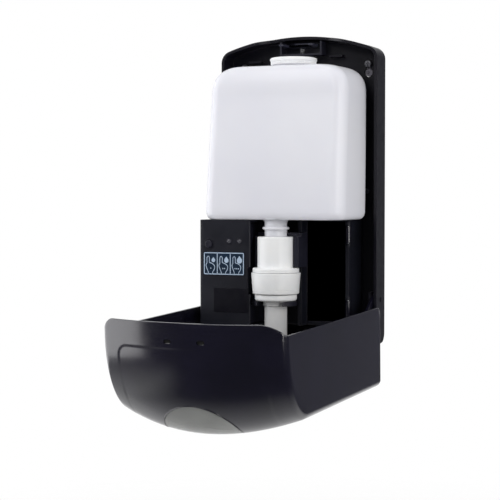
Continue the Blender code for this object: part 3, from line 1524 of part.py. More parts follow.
def make_battery_bay(base, door):
    """Door on two pins, four cells, their contact plates and springs."""
    lower, upper = door_spans()
    x = DOOR_HINGE_X
    forward = DOOR_HINGE_FORWARD
    edge = x - DOOR_KNUCKLE_RADIUS - GAP * 2
    leaf = door.add(
        "battery_door",
        box(DOOR_LEFT + GAP, edge, BODY_FRONT - DOOR_THICKNESS, BODY_FRONT, DOOR_LOW, DOOR_HIGH),
        "black_gloss",
    )
    for low, high in (lower, upper):
        join(
            leaf,
            box(
                edge - DOOR_KNUCKLE_RADIUS,
                x,
                BODY_FRONT - DOOR_THICKNESS + GAP / 2,
                BODY_FRONT - GAP / 2,
                low + WELD,
                high - WELD,
            ),
        )
        join(leaf, rod("Z", x, forward, DOOR_KNUCKLE_RADIUS, low, high))
        cut(leaf, rod("Z", x, forward, DOOR_PIN_RADIUS + RUN, low - OVERRUN, high + OVERRUN))
    for name, (low, high) in (("door_pin_lower", lower), ("door_pin_upper", upper)):
        base.add(
            name,
            rod("Z", x, forward, DOOR_PIN_RADIUS, low - GAP - LUG_LENGTH, high + GAP + LUG_LENGTH),
            "steel",
        )
    contact_low = BAY_LOW + GAP
    spring_low = contact_low + CONTACT_THICKNESS + GAP
    contact_high = BAY_HIGH - GAP
    left = CELL_FIRST_X - CELL_RADIUS
    right = CELL_FIRST_X + CELL_PITCH_X + CELL_RADIUS
    back = CELL_FIRST_FORWARD - CELL_RADIUS + GAP
    front = CELL_FIRST_FORWARD + CELL_PITCH_FORWARD + CELL_RADIUS - GAP
    base.add(
        "contact_plate_lower",
        box(left, right, back, front, contact_low, contact_low + CONTACT_THICKNESS),
        "steel",
    )
    nub_top = CELL_LOW + CELL_LENGTH + CELL_NUB_HEIGHT
    base.add("contact_plate_upper", box(left, right, back, front, nub_top + GAP, contact_high), "steel")
    number = 0
    for row in range(2):
        for column in range(2):
            number += 1
            cell_x = CELL_FIRST_X + CELL_PITCH_X * column
            cell_forward = CELL_FIRST_FORWARD + CELL_PITCH_FORWARD * row
            top = CELL_LOW + CELL_LENGTH
            profile = [
                (0, CELL_LOW),
                (CELL_RADIUS - GAP, CELL_LOW),
                (CELL_RADIUS, CELL_LOW + GAP),
                (CELL_RADIUS, top - GAP),
                (CELL_RADIUS - GAP, top),
                (CELL_NUB_RADIUS, top),
                (CELL_NUB_RADIUS, nub_top),
                (0, nub_top),
            ]
            base.add(f"battery_cell_{number}", turned(profile, cell_x, cell_forward, SMALL_STEPS), "cell")
            base.add(
                f"contact_spring_{number}",
                coil(
                    cell_x,
                    cell_forward,
                    spring_low,
                    CELL_LOW - GAP,
                    CONTACT_SPRING_RADIUS,
                    CONTACT_SPRING_WIRE,
                    CONTACT_SPRING_TURNS,
                ),
                "steel",
            )


def bottle_rings(inset):
    """Level outlines of the bottle from its base to its top, drawn in by an inset."""
    rings = []
    low = BOTTLE_LOW
    high = BOTTLE_HIGH
    stations = [(low + rise, half, front, back) for rise, half, front, back in BOTTLE_FOOT]
    stations += [(high - drop, half, front, back) for drop, half, front, back in BOTTLE_SHOULDER]
    for height, half, front, back in stations:
        height = low + inset + (height - low) * (high - low - inset * 2) / (high - low)
        slim = half - inset
        outline = panel(-slim, slim, back + inset, front - inset, BOTTLE_CORNER - inset, CORNER_STEPS + 1)
        rings.append([at(x, forward, height) for x, forward in outline])
    return rings


def make_bottle(bottle, cap_spin):
    """The inverted bottle with its neck, and the filler cap with its seal."""
    low = BOTTLE_LOW
    high = BOTTLE_HIGH
    body = bottle.add("bottle", loft(bottle_rings(0)), "milky")
    seat = low + BOTTLE_WALL / 2
    bead_low = BEAD_HEIGHT - BEAD_THICKNESS / 2
    bead_high = BEAD_HEIGHT + BEAD_THICKNESS / 2
    join(body, rod("Z", 0, PUMP_FORWARD, NECK_RADIUS, NECK_LOW, seat, ROUND_STEPS))
    join(body, rod("Z", 0, PUMP_FORWARD, BEAD_RADIUS, bead_low, bead_high, ROUND_STEPS))
    join(body, rod("Z", 0, FILLER_FORWARD, FILLER_RADIUS, high - BOTTLE_WALL / 2, FILLER_HIGH, ROUND_STEPS))
    cut(body, loft(bottle_rings(BOTTLE_WALL)))
    cut(
        body,
        rod("Z", 0, PUMP_FORWARD, NECK_BORE, NECK_LOW - OVERRUN, low + BOTTLE_WALL + OVERRUN, ROUND_STEPS),
    )
    cut(
        body,
        rod(
            "Z",
            0,
            FILLER_FORWARD,
            FILLER_BORE,
            high - BOTTLE_WALL - OVERRUN,
            FILLER_HIGH + OVERRUN,
            ROUND_STEPS,
        ),
    )
    seal_high = FILLER_HIGH + GAP + SEAL_THICKNESS
    seal = rod("Z", 0, FILLER_FORWARD, FILLER_RADIUS, FILLER_HIGH + GAP, seal_high, ROUND_STEPS)
    cap_spin.add("cap_seal", seal, "rubber")
    inner = FILLER_RADIUS + GAP * 2
    bead = CAP_RADIUS - CAP_BEAD
    ceiling = seal_high + GAP
    profile = [
        (inner, CAP_LOW),
        (CAP_RADIUS, CAP_LOW),
        (CAP_RADIUS, CAP_LOW + CAP_WALL),
        (bead, CAP_LOW + CAP_WALL + CAP_BEAD),
    ]
    profile += [
        (bead, CAP_HIGH - CAP_BEAD * 2),
        (bead - CAP_BEAD * 2, CAP_HIGH),
        (0, CAP_HIGH),
        (0, ceiling),
        (inner, ceiling),
    ]
    cap_spin.add("fill_cap", turned_open(profile, 0, FILLER_FORWARD), "white_plastic")


def turned_open(profile, x, forward):
    """A solid of revolution whose profile meets the axis part way: it starts after its last axis point."""
    first = next(
        index for index, point in enumerate(profile) if index and point[0] == 0 and profile[index - 1][0] == 0
    )
    return turned(profile[first:] + profile[:first], x, forward)


def make_pump(bottle, pump):
    """Screw collar, cup, plunger, return spring, inlet ball and outlet tube."""
    forward = PUMP_FORWARD
    clear = GAP / 2
    neck = NECK_RADIUS + GAP
    collar = [
        (CHAMBER_RADIUS + clear, SHOULDER_LOW),
        (SHOULDER_RADIUS, SHOULDER_LOW),
        (SHOULDER_RADIUS, COLLAR_LOW),
        (COLLAR_RADIUS, COLLAR_LOW),
    ]
    collar += [
        (COLLAR_RADIUS, COLLAR_HIGH),
        (neck, COLLAR_HIGH),
        (neck, NECK_LOW - GAP),
        (CHAMBER_RADIUS + clear, NECK_LOW - GAP),
    ]
    bottle.add("pump_collar", turned(collar, 0, forward), "white_plastic")
    top = SHOULDER_LOW - GAP
    ceiling = top - CUP_CEILING
    lip = CUP_LOW_RADIUS - CUP_WALL
    cup = [
        (CHAMBER_INLET, CHAMBER_HIGH),
        (CHAMBER_RADIUS, CHAMBER_HIGH),
        (CHAMBER_RADIUS, top),
        (CUP_RADIUS, top),
    ]
    cup += [
        (CUP_LOW_RADIUS, CUP_LOW + CUP_WALL),
        (CUP_LOW_RADIUS - CUP_WALL / 2, CUP_LOW),
        (lip, CUP_LOW),
        (lip, ceiling),
    ]
    cup += [
        (CHAMBER_BORE, ceiling),
        (CHAMBER_BORE, CHAMBER_HIGH - CUP_WALL),
        (CHAMBER_INLET, CHAMBER_HIGH - CUP_WALL),
    ]
    bottle.add("pump_cup", turned(cup, 0, forward), "white_plastic")
    ball_height = CHAMBER_HIGH - CUP_WALL - VALVE_BALL_RADIUS - GAP
    ball = bmesh.new()
    bmesh.ops.create_uvsphere(
        ball, u_segments=SMALL_STEPS, v_segments=SMALL_STEPS // 2, radius=VALVE_BALL_RADIUS
    )
    bmesh.ops.translate(ball, verts=ball.verts, vec=at(0, forward, ball_height))
    bottle.add("valve_ball", ball, "steel")
    soft = CUP_WALL
    stem = [
        (STEM_BORE, RING_LOW),
        (RING_RADIUS - soft, RING_LOW),
        (RING_RADIUS, RING_LOW + soft),
        (RING_RADIUS, RING_HIGH),
    ]
    stem += [
        (STEM_RADIUS, RING_HIGH),
        (STEM_RADIUS, PISTON_HIGH - PISTON_THICKNESS),
        (PISTON_RADIUS, PISTON_HIGH - PISTON_THICKNESS),
    ]
    stem += [(PISTON_RADIUS, PISTON_HIGH), (STEM_BORE, PISTON_HIGH)]
    pump.add("plunger", turned(stem, 0, forward), "white_plastic")
    spring = coil(
        0, forward, RING_HIGH + GAP, ceiling - GAP, PUMP_SPRING_RADIUS, PUMP_SPRING_WIRE, PUMP_SPRING_TURNS
    )
    pump.add("pump_spring", spring, "steel")
    sleeve_high = RING_LOW - GAP
    tube = [
        (TUBE_BORE, TUBE_LOW),
        (TUBE_RADIUS, TUBE_LOW),
        (TUBE_RADIUS, SLEEVE_LOW),
        (SLEEVE_RADIUS, SLEEVE_LOW),
    ]
    tube += [(SLEEVE_RADIUS, sleeve_high), (TUBE_BORE, sleeve_high)]
    pump.add("nozzle_tube", turned(tube, 0, forward), "white_plastic")
    outlet_low = TUBE_LOW + CUP_WALL
    outlet = [
        (OUTLET_BORE, outlet_low),
        (TUBE_BORE - clear, outlet_low),
        (TUBE_BORE - clear, outlet_low + OUTLET_THICKNESS),
    ]
    outlet += [(OUTLET_BORE, outlet_low + OUTLET_THICKNESS)]
    pump.add("outlet_insert", turned(outlet, 0, forward), "white_plastic")


def main():
    """Clears the scene and builds the dispenser."""
    for item in list(bpy.data.objects):
        bpy.data.objects.remove(item, do_unlink=True)
    base = Group("dispenser")
    base.empty.location = (0, 0, -PLATE_HEIGHT / 2)
    output, idler, motor = wheel_places()
    cover = Group("cover_hinge", at(0, HINGE_FORWARD, HINGE_HEIGHT), base, COVER_OPEN_ANGLE)
    latch = Group("latch_guide", at(0, LATCH_BAR_BACK, LATCH_BAR_LOW), base)
    button = Group("button_guide", at(BUTTON_X, WING_FRONT, BUTTON_HEIGHT), base)
    motor_spin = Group("motor_axis", at(0, *motor), base)
    idler_spin = Group("idler_axis", at(0, *idler), base)
    output_spin = Group("output_axis", at(0, *output), base)
    carriage = Group("carriage_guide", at(0, PUMP_FORWARD, CARRIAGE_LOW), base)
    door = Group("door_axis", at(DOOR_HINGE_X, DOOR_HINGE_FORWARD, DOOR_LOW), base)
    bottle = Group("bottle_seat", at(0, PUMP_FORWARD, BOTTLE_LOW), base)
    cap_spin = Group("cap_axis", at(0, FILLER_FORWARD, CAP_LOW), bottle)
    pump = Group("pump_axis", at(0, PUMP_FORWARD, RING_LOW), bottle)
    make_back_plate(base)
    for name, side in (("wall_screw_left", -1), ("wall_screw_right", 1)):
        height = KEYHOLE_HEIGHT + KEYHOLE_RISE
        make_screw(
            base,
            name,
            KEYHOLE_X * side,
            height,
            SCREW_HEAD_RADIUS,
            SCREW_SHANK_RADIUS,
            SCREW_HEAD_HEIGHT,
            0,
            PLATE_WALL,
        )
    for name, side in (("lower_screw_left", -1), ("lower_screw_right", 1)):
        x = LOWER_SCREW_X * side
        make_screw(
            base,
            name,
            x,
            LOWER_SCREW_HEIGHT,
            LOWER_HEAD_RADIUS,
            LOWER_SHANK_RADIUS,
            HOUSING_SCREW_HEAD,
            0,
            PLATE_WALL,
        )
    make_hinge_pins(base)
    make_cover(cover)
    make_latch(base, latch)
    make_housing(base)
    seat = PLATE_WALL + GAP + HOUSING_TAB_DEPTH
    for name, side in (("housing_screw_left", -1), ("housing_screw_right", 1)):
        height = HOUSING_TOP + HOUSING_TAB_HEIGHT / 2
        back = PLATE_WALL + GAP
        make_screw(
            base,
            name,
            HOUSING_SCREW_X * side,
            height,
            HOUSING_SCREW_RADIUS,
            HOUSING_SHANK_RADIUS,
            HOUSING_SCREW_HEAD,
            back,
            seat,
        )
    make_front_trim(base, button)
    make_drive(base, motor_spin, idler_spin, output_spin, carriage)
    make_cradle(base)
    make_battery_bay(base, door)
    make_bottle(bottle, cap_spin)
    make_pump(bottle, pump)


main()
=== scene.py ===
"""Looks of a wall soap dispenser that works by itself, its front cover hanging open.

Sizes are in millimetres in the plate's own terms: x to the right, forward out of the wall, and height
above the plate's lower edge. The cover's are given as it lies shut. Meshes are in metres in the row frame.
"""

from __future__ import annotations

import json
import logging
import math
from dataclasses import dataclass, field
from enum import Enum
from typing import Callable, Iterable, Sequence

import bmesh
import bpy
from mathutils import Matrix, Vector

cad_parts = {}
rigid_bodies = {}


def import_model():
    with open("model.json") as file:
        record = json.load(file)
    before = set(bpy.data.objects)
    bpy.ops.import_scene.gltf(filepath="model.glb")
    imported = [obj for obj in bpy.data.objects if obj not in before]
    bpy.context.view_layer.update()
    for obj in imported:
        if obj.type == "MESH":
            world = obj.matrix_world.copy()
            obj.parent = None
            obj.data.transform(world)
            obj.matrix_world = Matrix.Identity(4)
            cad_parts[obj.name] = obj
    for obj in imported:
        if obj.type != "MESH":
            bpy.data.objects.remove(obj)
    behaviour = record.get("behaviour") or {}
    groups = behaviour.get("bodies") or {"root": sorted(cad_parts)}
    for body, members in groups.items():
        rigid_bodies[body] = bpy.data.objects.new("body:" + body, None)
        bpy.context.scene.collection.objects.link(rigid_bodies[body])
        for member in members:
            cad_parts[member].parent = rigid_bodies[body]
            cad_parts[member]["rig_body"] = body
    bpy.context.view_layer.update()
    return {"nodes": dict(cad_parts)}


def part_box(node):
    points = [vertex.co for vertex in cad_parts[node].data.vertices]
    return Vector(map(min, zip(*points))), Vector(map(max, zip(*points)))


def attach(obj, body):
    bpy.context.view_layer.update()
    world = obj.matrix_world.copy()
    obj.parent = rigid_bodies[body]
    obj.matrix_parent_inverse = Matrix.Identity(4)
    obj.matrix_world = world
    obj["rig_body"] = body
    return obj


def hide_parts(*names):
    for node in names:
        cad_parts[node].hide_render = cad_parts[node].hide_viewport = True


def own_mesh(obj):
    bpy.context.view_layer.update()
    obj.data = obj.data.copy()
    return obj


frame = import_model()

LOG = logging.getLogger("dispenser")
MM = 0.001
WELD = 0.01 * MM
PLATE_MIDDLE = 125.8
PLATE_HALF = 69.0
PLATE_ARCH = 13.1
HINGE_FORWARD, HINGE_HEIGHT, HINGE_BORE = 10.5, 36.6, 2.06
PUMP_FORWARD = 65.0
SIDES = ((-1, "left"), (1, "right"))
WHITE = (1.0, 1.0, 1.0, 1.0)

Mesh = bmesh.types.BMesh
Tree = bpy.types.NodeTree
Socket = bpy.types.NodeSocket
Outline = Sequence[tuple[float, float]]
Points = list[tuple[float, float]]


class Cut(Enum):
    """What one mesh does to another."""

    AWAY = "DIFFERENCE"
    JOIN = "UNION"
    KEEP = "INTERSECT"

    def by(self, maker: Callable[..., None], *args: object) -> tuple[Cut, Mesh]:
        """This cut, with the mesh that a maker makes."""
        return self, solo(maker, *args)


class Axis(Enum):
    """The way an outline is pushed, and so what its two numbers are."""

    X = "forward and height"
    Y = "x and height"
    Z = "x and forward"


# Nodes of the materials


def linear(code: str) -> tuple[float, float, float, float]:
    """Turns an sRGB hex colour such as "#1d1b24" into linear RGBA with full alpha."""
    parts = [int(code[start : start + 2], 16) / 255 for start in (1, 3, 5)]
    red, green, blue = (c / 12.92 if c <= 0.04045 else ((c + 0.055) / 1.055) ** 2.4 for c in parts)
    return red, green, blue, 1.0


def connect(tree: Tree, node: bpy.types.Node, inputs: dict[str | int, object]) -> None:
    """Links each socket to the input it is given for, and sets anything else on the input itself."""
    for key, value in inputs.items():
        if isinstance(value, bpy.types.NodeSocket):
            tree.links.new(value, node.inputs[key])
        else:
            node.inputs[key].default_value = value


def add_node(
    tree: Tree, kind: str, inputs: dict[str | int, object] | None = None, **settings: object
) -> bpy.types.Node:
    """Adds a node.

    Args:
        tree: The node tree it goes into.
        kind: The node's type name.
        inputs: What each input gets.
        **settings: Properties of the node.

    Returns:
        The new node.
    """
    made = tree.nodes.new(kind)
    for key, value in settings.items():
        setattr(made, key, value)
    connect(tree, made, inputs or {})
    return made


def noise(tree: Tree, place: Socket, size: float, detail: float) -> Socket:
    """Noise whose features are about this many millimetres across."""
    inputs = {"Vector": place, "Scale": 1.0 / (size * MM), "Detail": detail}
    return add_node(tree, "ShaderNodeTexNoise", inputs).outputs["Fac"]


def ramp(tree: Tree, value: Socket, *stops: tuple[float, str]) -> Socket:
    """Hex colours laid out along a value."""
    made = add_node(tree, "ShaderNodeValToRGB", {"Fac": value})
    elements = made.color_ramp.elements
    while len(elements) < len(stops):
        elements.new(0.5)
    for element, (place, code) in zip(elements, stops):
        element.position = place
        element.color = linear(code)
    return made.outputs["Color"]


def remap(tree: Tree, value: Socket, source: Sequence[float], target: Sequence[float] = (0.0, 1.0)) -> Socket:
    """A value carried from one range to another."""
    ends = dict(zip(("From Min", "From Max", "To Min", "To Max"), (*source, *target)))
    return add_node(tree, "ShaderNodeMapRange", {"Value": value, **ends}).outputs["Result"]


def relief(
    tree: Tree, height: Socket, depth: float, strength: float = 1.0, under: Socket | None = None
) -> Socket:
    """A normal bumped by a height of so many millimetres, over another bump if there is one."""
    inputs = {"Height": height, "Strength": strength, "Distance": depth * MM}
    if under is not None:
        inputs["Normal"] = under
    return add_node(tree, "ShaderNodeBump", inputs).outputs["Normal"]


def worked(tree: Tree, operation: str, first: object, second: object) -> Socket:
    """Two values worked into one."""
    return add_node(tree, "ShaderNodeMath", {0: first, 1: second}, operation=operation).outputs[0]


def blend(tree: Tree, share: Socket, first: Socket, second: Socket) -> Socket:
    """Two shaders mixed; the share is the second one's."""
    return add_node(tree, "ShaderNodeMixShader", {0: share, 1: first, 2: second}).outputs[0]


# Finishes


@dataclass(frozen=True)
class Finish:
    """A surface finish; the material is made once and shared."""

    name: str
    colour: str
    roughness: float

    def dress(self, tree: Tree, shader: bpy.types.Node, place: Socket) -> None:
        """Adds the nodes of this finish.

        Args:
            tree: The material's node tree.
            shader: Its Principled shader.
            place: The object's coordinates.
        """

    def material(self) -> bpy.types.Material:
        """The material of this finish."""
        found = bpy.data.materials.get(self.name)
        if found is not None:
            return found
        made = bpy.data.materials.new(self.name)
        made.use_nodes = True
        tree = made.node_tree
        shader = tree.nodes["Principled BSDF"]
        connect(tree, shader, {"Base Color": linear(self.colour), "Roughness": self.roughness})
        self.dress(tree, shader, add_node(tree, "ShaderNodeTexCoord").outputs["Object"])
        made.diffuse_color = linear(self.colour)
        return made


@dataclass(frozen=True)
class MouldedPlastic(Finish):
    """Moulded plastic: a soft drift of tone, slight flow marks and the tool's fine grain."""

    drift_colour: str = "#808080"
    drift_size: float = 30.0
    grain_size: float = 0.5
    grain_depth: float = 0.004
    wave_size: float = 18.0
    wave_depth: float = 0.0
    shine: float = 0.5
    spread: float = 0.06
    glow: float = 0.0
    glow_depth: float = 2.0
    coat: float = 0.0
    coat_spread: float = 0.03
    index: float = 1.5

    def dress(self, tree: Tree, shader: bpy.types.Node, place: Socket) -> None:
        """Adds tone drift, uneven gloss, grain and waviness."""
        drift = noise(tree, place, self.drift_size, 2.0)
        patches = noise(tree, place, self.drift_size / 5, 4.0)
        normal = relief(tree, noise(tree, place, self.grain_size, 3.0), self.grain_depth)
        if self.wave_depth > 0:
            normal = relief(tree, noise(tree, place, self.wave_size, 1.0), self.wave_depth, under=normal)
        gloss = (max(self.roughness - self.spread, 0.03), self.roughness + self.spread)
        inputs = {
            "Base Color": ramp(tree, drift, (0.3, self.colour), (0.75, self.drift_colour)),
            "Roughness": remap(tree, patches, (0.3, 0.7), gloss),
            "Normal": normal,
            "Specular IOR Level": self.shine,
            "Coat Weight": self.coat,
            "Coat Roughness": self.coat_spread,
            "IOR": self.index,
        }
        if self.glow > 0:
            inputs["Subsurface Weight"] = self.glow
            inputs["Subsurface Radius"] = (1.0, 0.95, 0.9)
            inputs["Subsurface Scale"] = self.glow_depth * MM
        connect(tree, shader, inputs)


@dataclass(frozen=True)
class Glassy(Finish):
    """Clear or smoked acrylic and lens plastic, with faint haze from handling."""

    clearness: float = 0.5
    haze_size: float = 9.0
    shine: float = 0.5
    cloud_colour: str = ""
    cloud_size: float = 22.0

    def dress(self, tree: Tree, shader: bpy.types.Node, place: Socket) -> None:
        """Adds see-through, hazy patches and clouds."""
        haze = noise(tree, place, self.haze_size, 5.0)
        inputs = {
            "Roughness": remap(tree, haze, (0.0, 1.0), (self.roughness * 0.6, self.roughness * 1.5)),
            "Transmission Weight": self.clearness,
            "IOR": 1.49,
            "Specular IOR Level": self.shine,
        }
        if self.cloud_colour:
            cloud = noise(tree, place, self.cloud_size, 1.0)
            inputs["Base Color"] = ramp(tree, cloud, (0.35, self.cloud_colour), (0.65, self.colour))
        connect(tree, shader, inputs)


@dataclass(frozen=True)
class BareMetal(Finish):
    """Plated or stamped metal with a drawn grain and slightly uneven shine."""

    dull_colour: str = "#8a8d90"
    grain_size: float = 0.25
    stain_size: float = 3.0
    stretch: tuple[float, float, float] = (1.0, 1.0, 8.0)
    grain_depth: float = 0.004

    def dress(self, tree: Tree, shader: bpy.types.Node, place: Socket) -> None:
        """Adds the drawn grain and tarnish."""
        drawn = add_node(tree, "ShaderNodeMapping", {"Vector": place, "Scale": self.stretch})
        grain = noise(tree, drawn.outputs["Vector"], self.grain_size, 3.0)
        stain = noise(tree, place, self.stain_size, 3.0)
        inputs = {
            "Base Color": ramp(tree, stain, (0.35, self.colour), (0.8, self.dull_colour)),
            "Roughness": remap(tree, grain, (0.0, 1.0), (self.roughness * 0.7, self.roughness * 1.4)),
            "Normal": relief(tree, grain, self.grain_depth, 0.6),
            "Metallic": 1.0,
        }
        connect(tree, shader, inputs)


@dataclass(frozen=True)
class CircuitLaminate(Finish):
    """Glass-epoxy board: solder mask over a net of copper tracks."""

    track_colour: str = "#2f7a45"
    track_size: float = 2.2
    track_depth: float = 0.03

    def dress(self, tree: Tree, shader: bpy.types.Node, place: Socket) -> None:
        """Adds tracks as cell borders."""
        inputs = {"Vector": place, "Scale": 1.0 / (self.track_size * MM)}
        cells = add_node(tree, "ShaderNodeTexVoronoi", inputs, feature="DISTANCE_TO_EDGE")
        away = cells.outputs["Distance"]
        tone = ramp(tree, away, (0.04, self.track_colour), (0.09, self.colour))
        connect(tree, shader, {"Base Color": tone, "Normal": relief(tree, away, self.track_depth, 0.3)})


# Polished ABS: deep black with a blue cast, and soft room reflections that wander over flow waves.
POLISHED_ABS = MouldedPlastic(
    "polished_black_abs", "#0c0b17", 0.2, drift_colour="#121020", grain_size=0.6, grain_depth=0.001,
    wave_depth=0.02, shine=1.0, spread=0.02, index=1.55, coat=0.4, coat_spread=0.14,
)
# Satin ABS of the tray: the same black, spark-eroded so that light spreads over it.
SATIN_ABS = MouldedPlastic(
    "satin_black_abs", "#0c0b14", 0.38, drift_colour="#12111b", grain_size=0.45, grain_depth=0.008,
    shine=0.35,
)
# ABS of the drive housing: a shade lighter and finely grained.
HOUSING_ABS = MouldedPlastic(
    "grained_charcoal_abs", "#14151d", 0.44, drift_colour="#1a1b26", grain_size=0.4, grain_depth=0.012,
    shine=0.38,
)
# Acetal-blend latch and cradle parts: dark grey with a waxy sheen.
LATCH_ACETAL = MouldedPlastic(
    "dark_grey_acetal", "#1b1b26", 0.38, drift_colour="#23232f", grain_size=0.6, grain_depth=0.006,
    shine=0.45,
)
# Acetal of the sliding key bar: a bluer, paler grey that stands out against the tray.
SLIDE_ACETAL = MouldedPlastic(
    "blue_grey_acetal", "#262734", 0.36, drift_colour="#2e2f3e", grain_size=0.6, grain_depth=0.005,
)
# Nylon of the wall plugs: dull mid grey behind the keyholes.
PLUG_NYLON = MouldedPlastic(
    "grey_nylon", "#6d6a72", 0.60, drift_colour="#79767f", drift_size=3.0, grain_depth=0.02, shine=0.3,
)
# Blow-moulded polyethylene: milky, waxy and lit from within.
MILKY_POLYETHYLENE = MouldedPlastic(
    "blow_moulded_polyethylene", "#e2e2e9", 0.25, drift_colour="#e7e7ec", drift_size=60.0, grain_size=1.6,
    grain_depth=0.006, wave_depth=0.03, shine=0.45, spread=0.01, glow=0.35, glow_depth=9.0,
)
# Moulded polypropylene of the cap and pump: bright white, faintly waxy.
WHITE_POLYPROPYLENE = MouldedPlastic(
    "white_polypropylene", "#eeeff0", 0.34, drift_colour="#f4f4f3", drift_size=14.0, grain_size=0.8,
    shine=0.45, glow=0.2, glow_depth=2.5,
)
# Extruded polypropylene tube: a little greyer, with a silky surface.
TUBE_POLYPROPYLENE = MouldedPlastic(
    "extruded_polypropylene", "#dcdcdd", 0.42, drift_colour="#e4e3e2", drift_size=12.0, grain_size=0.7,
    grain_depth=0.006, shine=0.4, glow=0.15,
)
# Natural acetal of the wheels: cream and slightly oily.
NATURAL_ACETAL = MouldedPlastic(
    "natural_acetal", "#dedbd0", 0.38, drift_colour="#e8e5dc", drift_size=6.0, grain_size=0.6,
    glow=0.1, glow_depth=1.0,
)
# Nitrile rubber: dead black with a dusty bloom.
NITRILE_RUBBER = MouldedPlastic(
    "nitrile_rubber", "#1b1b1b", 0.82, drift_colour="#262625", drift_size=5.0, grain_size=0.3,
    grain_depth=0.02, shine=0.3, spread=0.08,
)
# Printed polyester film of the label: deep teal under a satin varnish.
PRINTED_FILM = MouldedPlastic(
    "printed_polyester_film", "#0b2236", 0.40, drift_colour="#0d2840", drift_size=12.0, grain_size=0.25,
    grain_depth=0.003, shine=0.4,
)
# Screen ink of the label's lines: pale blue-grey, slightly raised and matt.
SCREEN_INK = MouldedPlastic(
    "pale_screen_ink", "#a9bad2", 0.60, drift_colour="#b8cbdd", drift_size=4.0, grain_size=0.2, shine=0.3,
)
# Cell sleeves: shrunk film, dark grey with soft gloss.
CELL_SLEEVE = MouldedPlastic(
    "shrunk_cell_sleeve", "#3a3d42", 0.30, drift_colour="#44484e", drift_size=8.0, grain_depth=0.003,
    coat=0.3,
)
# Smoked acrylic of the level window: grey, glossy and half clear.
SMOKED_ACRYLIC = Glassy("smoked_acrylic", "#a6a7a4", 0.07, 0.55, shine=0.9, cloud_colour="#9c9d9a")
# Clear acrylic of the status lights, unlit.
CLEAR_ACRYLIC = Glassy("clear_acrylic", "#77767e", 0.14, 0.55)
# Infrared lens plastic: almost black, with a red heart.
INFRARED_LENS = Glassy("infrared_polycarbonate", "#1a0a12", 0.10, 0.25)
# Zinc-plated steel of screws, pins, shafts and springs: pale, with a drawn grain.
ZINC_STEEL = BareMetal("zinc_plated_steel", "#c9cbcd", 0.28, "#9a9c9f")
# Phosphated steel of the wall screws: dark grey with a dry shine.
PHOSPHATED_STEEL = BareMetal("phosphated_steel", "#8d8d92", 0.40, "#6b6b70")
# Blackened steel of the hinge pins: near black with a dull glint.
BLACKENED_STEEL = BareMetal("blackened_steel", "#2b2b30", 0.46, "#1d1d21")
# Nickel-plated contact strip and cell cans: warm and bright, its grain along the strip.
NICKEL_STRIP = BareMetal("nickel_plated_strip", "#cfcabf", 0.22, "#a5a198", stretch=(8.0, 1.0, 1.0))
# Glass-epoxy circuit board: green solder mask over raised copper tracks.
BOARD_LAMINATE = CircuitLaminate("glass_epoxy_laminate", "#0f4023", 0.45)


# Mesh tools


def at(x: float, forward: float, height: float) -> Vector:
    """A point of the row frame from the plate's terms."""
    return Vector((x, -forward, height - PLATE_MIDDLE)) * MM


def limited(value: float) -> float:
    """The value, kept between nought and one."""
    return min(max(value, 0), 1)


def eased(share: float) -> float:
    """A share that starts and ends gently."""
    return share * share * (3 - 2 * share)


def on_side(side: int, ends: Sequence[float]) -> list[float]:
    """Two places on the left (-1) or the right (1), the lower one first."""
    return sorted(side * end for end in ends)


def quarter(steps: int) -> list[float]:
    """Angles over a quarter turn, with both of its ends."""
    return [math.pi / 2 * k / steps for k in range(steps + 1)]


def arc(
    u: float, v: float, radius: float, steps: int, start: float = 0.0, sweep: float = math.tau
) -> Points:
    """Points round a circle; a part sweep holds both of its ends.

    Args:
        u: First coordinate of the centre.
        v: Second coordinate of the centre.
        radius: The circle's radius.
        steps: How many steps the sweep has.
        start: Angle of the first point.
        sweep: Angle that is gone round.

    Returns:
        The points.
    """
    count = steps if abs(sweep) >= math.tau else steps + 1
    turns = [start + sweep * k / steps for k in range(count)]
    return [(u + radius * math.cos(turn), v + radius * math.sin(turn)) for turn in turns]


def rounded(corners: Outline, radii: Sequence[float], steps: int) -> Points:
    """An outline with an arc in place of each corner that has a radius.

    Args:
        corners: The outline's corners.
        radii: A radius for each corner; nought keeps it sharp.
        steps: Steps of each arc.

    Returns:
        The rounded outline.
    """
    points: Points = []
    for index, (corner, radius) in enumerate(zip(corners, radii)):
        here = Vector(corner)
        if radius <= 0:
            points.append((here.x, here.y))
            continue
        before = (Vector(corners[index - 1]) - here).normalized()
        after = (Vector(corners[(index + 1) % len(corners)]) - here).normalized()
        half = before.angle(after) / 2
        middle = here + (before + after).normalized() * radius / math.sin(half)
        first = here + before * radius / math.tan(half) - middle
        last = here + after * radius / math.tan(half) - middle
        start = math.atan2(first.y, first.x)
        sweep = (math.atan2(last.y, last.x) - start + math.pi) % math.tau - math.pi
        points.extend(arc(middle.x, middle.y, radius, steps, start, sweep))
    return points


def panel(left: float, right: float, low: float, high: float, radius: float, steps: int = 6) -> Points:
    """A rectangle with round corners."""
    return rounded([(left, low), (right, low), (right, high), (left, high)], [radius] * 4, steps)


def smooth_line(points: Outline, steps: int) -> Points:
    """A smooth line through points, with so many steps from each to the next."""
    last = len(points) - 1
    out: Points = []
    for k in range(last):
        a, b, c, d = (Vector(points[min(max(k + j, 0), last)]) for j in (-1, 0, 1, 2))
        for s in range(steps):
            t = s / steps
            bend = (2 * a - 5 * b + 4 * c - d) * t**2 + (3 * b - a - 3 * c + d) * t**3
            out.append(tuple(0.5 * (2 * b + (c - a) * t + bend)))
    return out + [tuple(points[-1])]


